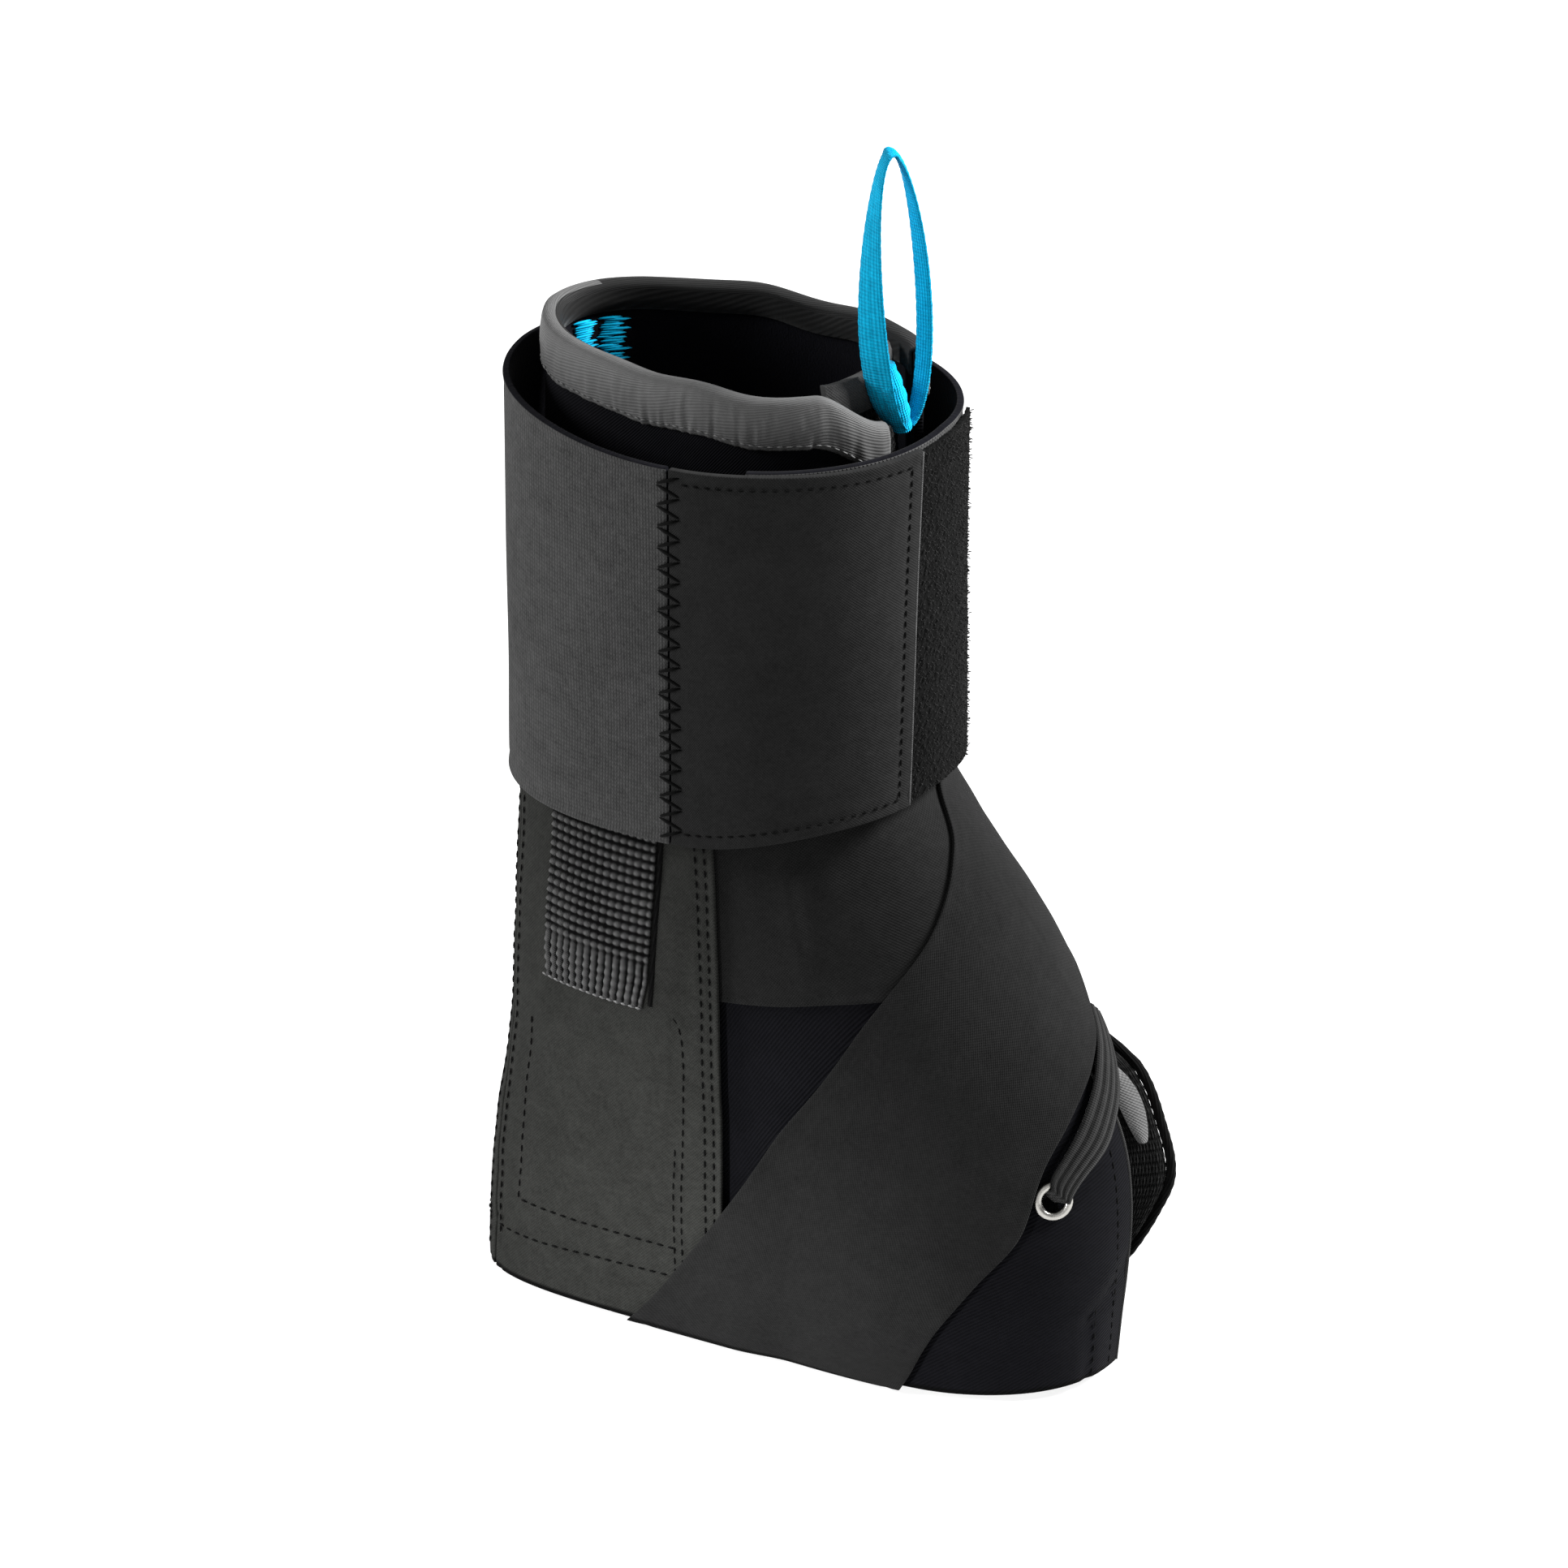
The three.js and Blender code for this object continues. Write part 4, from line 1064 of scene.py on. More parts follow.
        def facing(t: float) -> Vector:
            """Direction outwards at the rolled edge."""
            height = lerp(3, top, t)
            turn = form.throat(edge, height)
            return form.bare_point(turn, height, 1) - form.bare_point(turn, height, 0)

        return tube(name, path, facing, lambda t: (0.55, 1.5), 90, 12, Finish.FLAP_EDGE)

    def edges(self) -> list[bpy.types.Object]:
        """Builds the rolled edges of the front opening below the straps, and the flap's seams."""

        def flap_seam(turn: float, low: float, high: float) -> Seam:
            """Upright row of stitches on a flap."""
            return lambda t: self.form.face(turn, lerp(low, high, t), 0.05)

        rows = [flap_seam(*row) for row in self.flap_rows]
        return [
            self.opening_edge("near_opening_edge", 1, self.near_edge_top),
            self.opening_edge("far_opening_edge", 2, self.far_edge_top),
            Thread(Finish.DARK_THREAD, radius=0.22).sew("flap_stitches", rows),
        ]

    def inner_patch(self) -> bpy.types.Object:
        """Builds the plain blue satin-stitched patch on the inside of the back wall."""
        form = self.form
        bm = charted_mesh()
        thread = Thread(Finish.RIBBON, radius=0.42)
        lift = -form.wall - 0.25
        low, high = (form.height - drop for drop in self.patch_drops)
        for i in range(self.patch_rows):
            height = lerp(low, high, i / (self.patch_rows - 1))
            left = self.patch_turns[0] + 2.5 * noise.noise(Vector((i * 0.9, 4.0, 1.0)))
            right = self.patch_turns[1] + 5.0 * noise.noise(Vector((i * 0.7, 8.0, 2.0)))
            middle = lerp(left, right, 0.5 + 0.3 * noise.noise(Vector((i * 1.3, 2.0, 7.0))))
            for start, end in ((left, middle + 0.4), (middle - 0.4, right)):
                point = form.point(start, height, lift)
                inward = (form.point(start, height, lift - 1) - point).normalized()
                thread.stitch(bm, point, form.point(end, height, lift), inward)
        return finished(bm, "inner_stitch_patch", [Finish.RIBBON])


@dataclass
class SidePanel:
    """One side's stay panel with its pocket, webbing tab and seams."""

    form: BootForm
    side: int
    name: str
    thickness: float = 1.2
    hem: float = 0.6
    top: float = 150.0
    pocket_rear: float = -37.0
    pocket_front: float = 6.0
    pocket_top: float = 84.0
    pocket_bottom: float = 22.5
    webbing_rear: float = -31.5
    webbing_width: float = 28.0
    column_pitch: float = 1.9
    row_pitch: float = 2.3
    edge_rows: tuple = (2.0, 4.2)
    rear_row: float = 2.0
    low_row: float = 14.5
    stitch_top: float = 129.0
    pocket_rise: float = 0.35
    seam_dip: float = 0.22

    def pocket(self, x: float, height: float) -> float:
        """How far the stay fills the panel out at a place."""
        wide = smooth((x - self.pocket_rear) / 5) * smooth((self.pocket_front - x) / 5)
        tall = smooth((height - self.pocket_bottom) / 6) * smooth((self.pocket_top + 40 - height) / 12)
        return wide * tall

    def panel(self) -> bpy.types.Object:
        """Builds the panel with the relief of its stay pocket and the dips of its seams."""
        form = self.form
        rear = form.panel_rear

        def place(u: float, v: float, offset: float) -> Vector:
            """Point of the panel's outer face."""
            height = lerp(self.hem, self.top, v)
            edge = form.panel_edge(height)
            x = lerp(rear, edge, u)
            from_edge = edge - x
            from_rear = x - rear
            seams = sum(hump(from_edge, row, 0.5) for row in self.edge_rows)
            seams += hump(from_rear, self.rear_row, 0.6)
            piping = 0.35 * smooth((1.6 - from_edge) / 0.9)
            low = hump(height, self.low_row, 0.7)
            low += hump(height, self.pocket_bottom, 0.7) * smooth((x + 40) / 3)
            body = self.pocket_rise * self.pocket(x, height) - self.seam_dip * (seams + low) + piping
            return form.side_point(self.side, x, height, Layer.OVER + self.thickness + body + offset)

        cloth = Cloth(f"{self.name}_panel", place, 90, 150, Finish.PANEL, self.thickness, edge=0.3)
        piece = cloth.build()
        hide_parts(f"{self.name}_stay_panel")
        return piece

    def seams(self) -> bpy.types.Object:
        """Sews the panel's double rows and the outline of the stay pocket."""
        form = self.form
        rear = form.panel_rear
        lift = Layer.OVER + self.thickness + 0.12

        def beside_edge(inset: float) -> list[tuple[float, float]]:
            """Row that follows the panel's front edge."""
            return [(form.panel_edge(h) - inset, h) for h in range(8, int(self.stitch_top), 6)]

        rows = [
            *(beside_edge(inset) for inset in self.edge_rows),
            [(rear + self.rear_row, 10), (rear + self.rear_row, self.stitch_top)],
            [(rear + 9.5, 68), (rear + 9.0, 50), (rear + 8.5, 22)],
            [(-3, 84), (1.5, 84.6), (4, 82), (5.2, 78), (6, 70), (6.6, 45), (7, 15)],
            [(4.6, 50), (5, 15)],
            [(rear + 9, self.pocket_bottom), (5.5, self.pocket_bottom + 0.3)],
            [(rear + 1, 12.5), (-15, self.low_row), (12, self.low_row + 0.7)],
        ]
        seams = [form.seam(self.side, points, lift) for points in rows]
        bartack = form.seam(self.side, [(rear + 9.6, 67), (rear + 9.6, 71.5)], lift + 0.1)
        return Thread(Finish.DARK_THREAD).sew(f"{self.name}_panel_stitches", seams + [bartack])

    def webbing(self) -> list[bpy.types.Object]:
        """Builds the coarse webbing tab, woven in relief, the pale row across its foot and a black strip
        beside it as its painted shadow.
        """
        form = self.form
        bottom = self.pocket_top
        reach = 0.85

        def weave(u: float, v: float) -> float:
            """Relief of the basket weave, which turns to upright ribs near the foot."""
            x = u * self.webbing_width / self.column_pitch
            z = v * (self.top - bottom) / self.row_pitch
            rib = 0.5 - 0.5 * math.cos(2 * math.pi * x)
            woven = (0.5 - 0.5 * math.cos(2 * math.pi * z)) * (0.35 + 0.65 * rib)
            foot = smooth((13.5 - v * (self.top - bottom)) / 5)
            ribs = rib**0.8 * (0.75 + 0.25 * math.cos(2 * math.pi * z))
            edge = smooth(min(u, 1 - u) / 0.02)
            return reach * lerp(woven, ribs, foot) * (0.4 + 0.6 * edge)

        def place(u: float, v: float, offset: float) -> Vector:
            """Point of the webbing's outer face."""
            height = lerp(bottom, self.top, v)
            narrow = 0.03 * smooth((8 - v * (self.top - bottom)) / 8)
            x = self.webbing_rear + lerp(narrow, 1 - narrow, u) * self.webbing_width
            return form.side_point(self.side, x, height, Layer.TOP + 0.5 + offset)

        cloth = Cloth(
            f"{self.name}_webbing_tab", place, 90, 176, Finish.WEBBING, 0.5,
            relief=weave, relief_reach=reach, edge=0.0,
        )
        piece = cloth.build()
        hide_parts(f"{self.name}_webbing")
        front = self.webbing_rear + self.webbing_width
        low = [(self.webbing_rear + 0.5, bottom + 0.4), (front - 0.5, bottom + 0.4)]
        thread = Thread(Finish.LIGHT_THREAD, length=1.5, pitch=1.9, radius=0.3)
        foot = thread.sew(f"{self.name}_webbing_foot", [form.seam(self.side, low, Layer.TOP + 1.3)])
        outward = Vector((0.0, float(self.side), 0.0))

        def path(t: float) -> Vector:
            """Point of the black strip beside the webbing, which stands in for the shadow of the tab's edge:
            a painted shadow.
            """
            height = lerp(bottom + 1, self.top - 1, t)
            return form.side_point(self.side, front + 0.5, height, Layer.TOP - 0.1)

        # A black tube along the webbing's front edge: painted shadow of the tab's thickness.
        fold = tube(
            f"{self.name}_webbing_painted_shadow", path, lambda t: outward, lambda t: (0.7, 0.5), 60, 10,
            Finish.ROLLED,
        )
        return [piece, foot, fold]


@dataclass
class HeelStrip:
    """The outer strip down the back. Its upright rows stand at shares of its width."""

    form: BootForm
    thickness: float = 1.2
    hem: float = 0.6
    top: float = 150.0
    gap_turn: float = 0.5
    edge_rows: tuple = (0.045, 0.955)
    centre_rows: tuple = (0.49, 0.51)
    low_row: float = 12.5
    stitch_bottom: float = 4.0
    stitch_top: float = 130.0
    seam_dip: float = 0.22

    def build(self) -> list[bpy.types.Object]:
        """Builds the strip and its rows of stitches."""
        form = self.form
        outer = Layer.OVER + self.thickness

        def turn_at(share: float, height: float) -> float:
            """Turn at a share of the strip's width, from its near edge to its far one."""
            edge = form.turn_at_x(form.panel_rear, height) - self.gap_turn
            return lerp(edge, -360 - edge, share)

        def place(u: float, v: float, offset: float) -> Vector:
            """Point of the strip's outer face."""
            height = lerp(self.hem, self.top, v)
            seams = sum(hump(u, share, 0.012) for share in self.edge_rows) + 0.7 * hump(u, 0.5, 0.01)
            low = hump(height, self.low_row, 0.7)
            return form.point(turn_at(u, height), height, outer - self.seam_dip * (seams + low) + offset)

        cloth = Cloth("heel_strip", place, 96, 130, Finish.PANEL, self.thickness, edge=0.3)
        piece = cloth.build()
        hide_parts("heel_panel")

        def stitch(share: float, height: float) -> tuple[Vector, Vector]:
            """Point and outward direction of a stitch at a share of the strip's width."""
            return form.face(turn_at(share, height), height, outer + 0.1)

        def upright(share: float) -> Seam:
            """Upright row at a share of the strip's width."""
            return lambda t: stitch(share, lerp(self.stitch_bottom, self.stitch_top, t))

        rows = [upright(share) for share in self.edge_rows + self.centre_rows]
        rows.append(lambda t: stitch(lerp(0.03, 0.97, t), self.low_row))
        return [piece, Thread(Finish.DARK_THREAD).sew("heel_strip_stitches", rows)]


@dataclass
class Straps:
    """The two wide straps of the figure of eight.

    The route rows are: step, then the turn and height of the upper and of the lower edge, heights as
    shares of the boot's.
    """

    form: BootForm
    thickness: float = 1.0
    lateral_bridge: float = 0.9
    medial_bridge: float = 0.6
    bend_share: float = 0.57
    bend_run: float = 0.06
    lateral: tuple = (
        (0, -135, 0.002, -54, 0.002),
        (1, -122, 0.074, -51, 0.02),
        (2, -103, 0.152, -45, 0.061),
        (3, -78, 0.234, -34, 0.123),
        (4, -55, 0.307, -24, 0.18),
        (5, -37, 0.385, -17, 0.246),
        (6, -21, 0.455, -9, 0.299),
        (7, -8, 0.52, 0, 0.344),
        (8, 2, 0.572, 9, 0.385),
        (9, 18, 0.59, 24, 0.393),
        (10, 40, 0.58, 45, 0.381),
        (11, 70, 0.566, 68, 0.373),
        (12, 98, 0.561, 98, 0.365),
    )
    medial: tuple = (
        (0, 135, 0.002, 56, 0.002),
        (1, 122, 0.074, 53, 0.02),
        (2, 103, 0.152, 48, 0.061),
        (3, 80, 0.234, 41, 0.115),
        (4, 60, 0.307, 35, 0.18),
        (5, 46, 0.385, 29, 0.246),
        (6, 34, 0.455, 21, 0.303),
        (7, 21, 0.525, 12, 0.361),
        (8, 6, 0.574, -1, 0.398),
        (9, -12, 0.59, -18, 0.402),
        (10, -40, 0.58, -42, 0.387),
        (11, -70, 0.566, -66, 0.373),
        (12, -96, 0.561, -94, 0.365),
    )

    def over_panel(self, x: float) -> float:
        """How far a place lies over a side panel: 1 on it, 0 clear of its front edge."""
        return 1 - smooth((x - self.form.panel_front - 3) / 14)

    def lateral_lift(self, x: float, y: float, height: float) -> float:
        """Offset of the lateral strap's inner face."""
        over = self.over_panel(x)
        return lerp(Layer.OVER, Layer.TOP, over) if y < 0 else lerp(Layer.OVER, Layer.UNDER, over)

    def medial_lift(self, x: float, y: float, height: float) -> float:
        """Offset of the medial strap's inner face."""
        low = 1.0 if height < self.form.height * 0.33 else 0.0
        return lerp(Layer.UNDER, Layer.TOP, self.over_panel(x) * low) if y > 0 else Layer.UNDER

    def strap(self, name: str, node: str, route: tuple, lift: Lift, bridge: float) -> bpy.types.Object:
        """Builds one strap with its folded edges and soft folds.

        Args:
            name: Name of the piece.
            node: Node of the frame that it replaces.
            route: Its route's rows.
            lift: Offset of its inner face at a place.
            bridge: How far it stands off the bend of the instep.

        Returns:
            The finished object.
        """
        form = self.form
        last = len(route) - 1

        def place(u: float, v: float, offset: float) -> Vector:
            """Point of the strap's outer face."""
            step = u * last
            turn = lerp(column(route, 3, step), column(route, 1, step), v)
            height = lerp(column(route, 4, step), column(route, 2, step), v) * form.height
            ground = form.bare_point(turn, height, 0)
            front = max(0.0, math.cos(math.radians(turn)))
            bend = front * smooth(1 - abs(height / form.height - self.bend_share) / self.bend_run)
            edge = min(v, 1 - v)
            rolled = 0.16 * smooth((0.035 - edge) / 0.02) - 0.14 * hump(edge, 0.045, 0.008)
            fold = 0.0
            if route is self.medial and turn < -30:
                upper = smooth((height / form.height - 0.37) / 0.06)
                fold = 0.9 * upper * (hump(turn, -52, 3.0) - 0.9 * hump(turn, -46, 4.0))
            if route is self.lateral and turn < 0:
                fold = 0.45 * math.sin(v * 9 + u * 21) * hump(v, 0.4, 0.3) * smooth((u - 0.05) / 0.2)
            lay = lift(ground.x, ground.y, height) + bridge * bend + self.thickness
            return form.point(turn, height, lay + rolled + fold * 0.6 + offset)

        cloth = Cloth(name, place, 220, 46, Finish.STRAP, self.thickness, edge=0.25)
        piece = cloth.build()
        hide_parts(node)
        return piece

    def build(self) -> list[bpy.types.Object]:
        """Builds both straps."""
        return [
            self.strap(
                "lateral_wrap_strap", "lateral_strap", self.lateral, self.lateral_lift, self.lateral_bridge
            ),
            self.strap(
                "medial_wrap_strap", "medial_strap", self.medial, self.medial_lift, self.medial_bridge
            ),
        ]


@dataclass
class Cuff:
    """The elastic wrap round the leg, its sewn-on tab and its pile patch."""

    form: BootForm
    front: float = 53.96
    back: float = 59.28
    half: float = 40.81
    base: float = 131.08
    height: float = 97.0
    front_rise: float = 10.0
    back_drop: float = 4.0
    sag: float = 2.0
    power: float = 2.15
    wall: float = 1.8
    tab_seam: float = -87.0
    tab_end: float = -13.0
    tab_slant: float = 4.0
    underlap: float = -62.0
    tuck: float = 2.5
    pile_end: float = 16.0
    pile_set_back: float = 0.5
    pile_thickness: float = 1.3
    zigzag_reach: float = 3.4
    zigzag_pitch: float = 5.4
    hook_columns: int = 24
    hook_rows: int = 78

    def point(self, degrees: float, share: float, offset: float) -> Vector:
        """Point of the cuff's outer face."""
        turn = math.radians(degrees)
        reach = self.front if math.cos(turn) >= 0 else self.back
        end = math.cos(turn) ** 2
        near = max(0.0, -math.sin(turn))
        slope = self.front_rise if math.cos(turn) > 0 else -self.back_drop
        low = self.base + end * slope - self.sag * near
        high = self.base + self.height + end - 2 * self.sag * near
        height = lerp(low, high, share)
        place = Vector((math.cos(turn) * 50, math.sin(turn) * 40, height))
        soft = 0.5 * noise.noise(place / 34.0)
        radius = corner_radius(turn, reach + offset + soft, self.half + offset + soft, self.power)
        return Vector((radius * math.cos(turn), radius * math.sin(turn), height))

    def out(self, degrees: float, share: float, offset: float) -> tuple[Vector, Vector]:
        """Point and outward direction on the cuff."""
        point = self.point(degrees, share, offset)
        return point, (self.point(degrees, share, offset + 1) - point).normalized()

    def end_turn(self, share: float) -> float:
        """Turn of the tab's free end."""
        return self.tab_end - self.tab_slant * (1 - share)

    def elastic(self) -> bpy.types.Object:
        """Builds the knitted elastic, which starts under the tab and ends at the zigzag seam."""

        def place(u: float, v: float, offset: float) -> Vector:
            """Point of the elastic's outer face."""
            turn = lerp(self.underlap, self.tab_seam + 359.4, u)
            tucked = 1 - smooth((turn - self.pile_end) / 70)
            edge = min(v, 1 - v)
            hem = 0.25 * smooth((0.02 - edge) / 0.015) - 0.12 * hump(edge, 0.03, 0.006)
            seam = -0.25 * hump(self.tab_seam + 360 - turn, 0, 2.5)
            return self.point(turn, v, -tucked * self.tuck + hem + seam + offset)

        cloth = Cloth(
            "cuff_wrap", place, 250, 66, Finish.KNIT, self.wall,
            lining=Finish.LINING, edge=0.4, lined_rim=True,
        )
        piece = cloth.build()
        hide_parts("cuff_elastic")
        return piece

    def tab(self) -> bpy.types.Object:
        """Builds the smooth tab with its stitched borders pressed in."""

        def place(u: float, v: float, offset: float) -> Vector:
            """Point of the tab's outer face."""
            turn = lerp(self.tab_seam, self.end_turn(v), u)
            edge = min(v, 1 - v)
            border = hump(edge, 0.034, 0.008) + hump(1 - u, 0.045, 0.009)
            wave = 0.35 * math.sin(u * 7.0 + v * 2.2) * math.sin(math.pi * u)
            return self.point(turn, v, wave - 0.16 * border + offset)

        cloth = Cloth("cuff_fastening_tab", place, 100, 84, Finish.TAB, 1.8, lining=Finish.LINING, edge=0.3)
        piece = cloth.build()
        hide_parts("cuff_tab")
        return piece

    def pile(self) -> list[bpy.types.Object]:
        """Builds the pile patch: a rough ground with small bent hooks standing on it."""
        inset = 0.01

        def place(u: float, v: float, offset: float) -> Vector:
            """Point of the patch's ground."""
            share = lerp(inset, 1 - inset, v)
            turn = lerp(self.end_turn(share) + 0.8, self.pile_end, u)
            rough = 0.28 * noise.noise(Vector((u * 26, v * 74, 2.0)))
            return self.point(turn, share, -self.pile_set_back - 0.35 + rough + offset)

        cloth = Cloth("pile_ground", place, 64, 170, Finish.PILE, self.pile_thickness - 0.35, edge=0.2)
        ground = cloth.build()
        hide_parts("cuff_pile")
        bm = charted_mesh()
        hook = Thread(Finish.HOOKS, radius=0.16)
        for i in range(self.hook_columns):
            for j in range(self.hook_rows):
                seed = Vector((i * 1.73, j * 2.31, 5.0))
                u = (i + 0.5 + 0.8 * noise.noise(seed)) / self.hook_columns
                v = (j + 0.5 + 0.8 * noise.noise(seed + Vector((9, 3, 1)))) / self.hook_rows
                foot = place(u, v, -0.05)
                lean = Vector([noise.noise(seed * share) for share in (1.9, 2.3, 2.9)]) * 0.9
                out = (place(u, v, 1.0) - foot).normalized()
                tip = foot + out * (0.55 + 0.25 * noise.noise(seed * 3.7)) + lean
                hook.stitch(bm, foot, tip, out + lean)
        return [ground, finished(bm, "pile_hooks", [Finish.HOOKS])]

    def sewing(self) -> list[bpy.types.Object]:
        """Sews the zigzag seam, the rows inside the tab's borders and its pale free edge."""
        count = int(self.height / self.zigzag_pitch * 2)
        turn_reach = math.degrees(self.zigzag_reach / self.half)
        zigzag = []
        for i in range(count + 1):
            side = turn_reach if i % 2 else -turn_reach
            zigzag.append(self.out(self.tab_seam + side, lerp(0.015, 0.985, i / count), 0.12))
        pieces = [Thread(Finish.TAB_THREAD, radius=0.5).zigzag("cuff_zigzag_seam", zigzag)]

        def border(share: float) -> Seam:
            """Row along the tab's top or bottom."""
            return lambda t: self.out(lerp(self.tab_seam + 4, self.end_turn(share) - 2.5, t), share, 0.1)

        def down(t: float) -> tuple[Vector, Vector]:
            """Row beside the tab's free end."""
            share = lerp(0.035, 0.965, t)
            return self.out(lerp(self.tab_seam, self.end_turn(share), 0.955), share, 0.1)

        thread = Thread(Finish.TAB_THREAD, length=1.9, pitch=2.6, radius=0.3)
        pieces.append(thread.sew("tab_stitches", [border(0.034), border(0.966), down]))

        def edge(t: float) -> Vector:
            """Point of the tab's free edge."""
            return self.point(self.end_turn(lerp(0.005, 0.995, t)), lerp(0.005, 0.995, t), -0.25)

        pieces.append(
            tube(
                "tab_pale_edge", edge, lambda t: Vector((1.0, -0.2, 0.0)), lambda t: (0.35, 0.45), 80, 8,
                Finish.PALE_EDGE,
            )
        )
        return pieces


@dataclass
class Tongue:
    """The padded tongue: mesh at its lower end, grey cloth at its top, a rolled edge and a tape loop.

    The end rows are: height by share of the boot's, then reach and side of the near and far edges.
    The rolled edge ends at edge_top, a share of the boot's height too. The grey cloth and the
    ribbon's foot start at a drop below the boot's height.
    """

    form: BootForm
    thickness: float = 3.0
    top_drop: float = 4.0
    half_angle: float = 32.0
    hollow: float = 5.0
    edge_radius: float = 1.2
    clearance: float = 0.4
    binding_thickness: float = 0.8
    edge_top: float = 0.33
    cloth_drop: float = 13.0
    ribbon_drop: float = 18.0
    ribbon_heading: float = 62.0
    ribbon_half: float = 9.0
    ribbon_rise: float = 69.0
    rows: tuple = (
        (0.09, 0.9, -0.09, 0.925, -0.03),
        (0.115, 0.92, -0.07, 0.965, 0.01),
        (0.15, 0.94, -0.06, 1.005, 0.09),
        (0.193, 0.95, -0.05, 1.035, 0.14),
        (0.246, 0.94, -0.05, 1.01, 0.14),
        (0.3, 0.88, -0.08, 0.955, 0.13),
        (0.34, 0.8, -0.12, 0.85, 0.13),
        (0.4, 0.69, -0.2, 0.72, 0.15),
    )

    def point(self, v: float, height: float, offset: float) -> Vector:
        """Point of the tongue: inside the boot above the instep, and out of the opening below it."""
        form = self.form
        share = height / form.height
        opened = smooth((share - 0.7) / 0.3)
        hollow = self.hollow * opened * (1 - (2 * v - 1) ** 2)
        inset = form.wall + self.binding_thickness + 2 * self.clearance + self.thickness + hollow
        lined = form.bare_point(lerp(-self.half_angle, self.half_angle, v), height, offset - inset)
        at = [column(self.rows, i, share) for i in range(1, 5)]
        near = Vector((at[0] * form.toe_reach, at[1] * form.half_width))
        far = Vector((at[2] * form.toe_reach, at[3] * form.half_width))
        across = (far - near).normalized()
        edge = near.lerp(far, v)
        edge.x += across.y * (offset - self.thickness)
        edge.y -= across.x * (offset - self.thickness)
        inner = smooth((share - 0.3) / 0.1)
        return Vector((lerp(edge.x, lined.x, inner), lerp(edge.y, lined.y, inner), height))

    def height(self, u: float) -> float:
        """Height at a share of the way up the tongue."""
        return lerp(self.form.height * self.rows[0][0], self.form.height - self.top_drop, u)

    def pad(self) -> bpy.types.Object:
        """Builds the padded panel, crowned between its edges."""
        reach = 0.35

        def knots(u: float, v: float) -> float:
            """Relief of the mesh's rows of short raised dashes."""
            length = u * (self.form.height - self.top_drop) / 3.2
            wide = v * 14 + 0.5 * (int(length) % 2)
            dash = (0.5 - 0.5 * math.cos(2 * math.pi * length)) * (0.5 - 0.5 * math.cos(2 * math.pi * wide))
            return reach * dash * smooth((0.97 - u) / 0.02)

        def place(u: float, v: float, offset: float) -> Vector:
            """Point of the tongue's front face."""
            edge = min(v, 1 - v)
            crown = 0.5 * smooth(edge / 0.2) - 0.6 * smooth((0.06 - edge) / 0.06)
            ends = -0.7 * smooth((0.012 - min(u, 1 - u)) / 0.012)
            return self.point(v, self.height(u), self.thickness - 0.4 + crown + ends + offset)

        cloth = Cloth(
            "tongue_pad", place, 330, 60, Finish.MESH, self.thickness - 0.8,
            relief=knots, relief_reach=reach, edge=0.5,
        )
        piece = cloth.build()
        piece.data.materials.append(Finish.TONGUE_TOP.material())
        low = (self.form.height - self.cloth_drop) * MM
        for face in piece.data.polygons:
            if all(piece.data.vertices[i].co.z > low for i in face.vertices):
                face.material_index = 1
        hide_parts("tongue")
        return piece

    def rolled_edge(self) -> bpy.types.Object:
        """Builds the rolled edge along the far side of the lower end."""
        low = self.form.height * self.rows[0][0]
        high = self.form.height * self.edge_top
        size = (self.edge_radius, self.edge_radius * 1.25)

        def path(t: float) -> Vector:
            """Point of the rolled edge's middle."""
            height = lerp(low, high, t)
            middle = self.point(1, height, self.thickness / 2)
            inward = self.point(0, height, self.thickness / 2)
            return middle + (middle - inward).normalized() * (self.edge_radius + 0.2)

        def facing(t: float) -> Vector:
            """Direction of the tongue's front face."""
            height = lerp(low, high, t)
            return self.point(1, height, 1) - self.point(1, height, 0)

        piece = tube(
            "tongue_rolled_edge", path, facing, lambda t: size, 90, 14, Finish.ROLLED,
            surface=lambda u, w: 0.06 * math.sin(u * 150),
        )
        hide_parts("tongue_binding")
        return piece

    def tape_loop(self) -> bpy.types.Object:
        """Builds the light tape loop lying on the tongue's lower end."""

        def place(u: float, v: float, offset: float) -> Vector:
            """Point of the tape's outer face."""
            belly = lerp(0.35, 1.0, math.sin(math.pi * u) ** 0.7)
            height = lerp(0.235, 0.32, u) * self.form.height
            middle = self.point(0.6 + (v - 0.5) * 0.55 * belly, height, 0)
            arch = 0.5 * math.sin(math.pi * v)
            outward = Vector((0.6, -0.8, 0.0))
            return middle + outward * (self.thickness + self.clearance + 1.0 + arch + offset)

        cloth = Cloth("lace_keeper_tape", place, 60, 24, Finish.LOOP_TAPE, 1.0, edge=0.3)
        piece = cloth.build()
        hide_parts("lace_loop")
        return piece

    def pull_loop(self) -> list[bpy.types.Object]:
        """Builds the standing loop of blue ribbon and its thick sewn foot."""
        heading = math.radians(self.ribbon_heading)
        across = Vector((math.cos(heading), math.sin(heading), 0.0))
        facing = Vector((math.sin(heading), -math.cos(heading), 0.0))
        low = self.form.height - self.ribbon_drop
        foot = self.point(0.56, low, self.thickness + self.clearance + 1.2) + facing * 5.0

        def path(t: float) -> Vector:
            """Point of the ribbon's middle."""
            swing = 2 * math.pi * lerp(0.03, 0.97, t)
            rise = (1 - math.cos(swing)) / 2
            spread = math.sin(swing) * (1 - 0.25 * rise) * (self.ribbon_half - 0.9) - 3.7 * rise
            point = foot + across * spread
            point.z = low + 0.9 + rise * (self.ribbon_rise - 1.4)
            return point

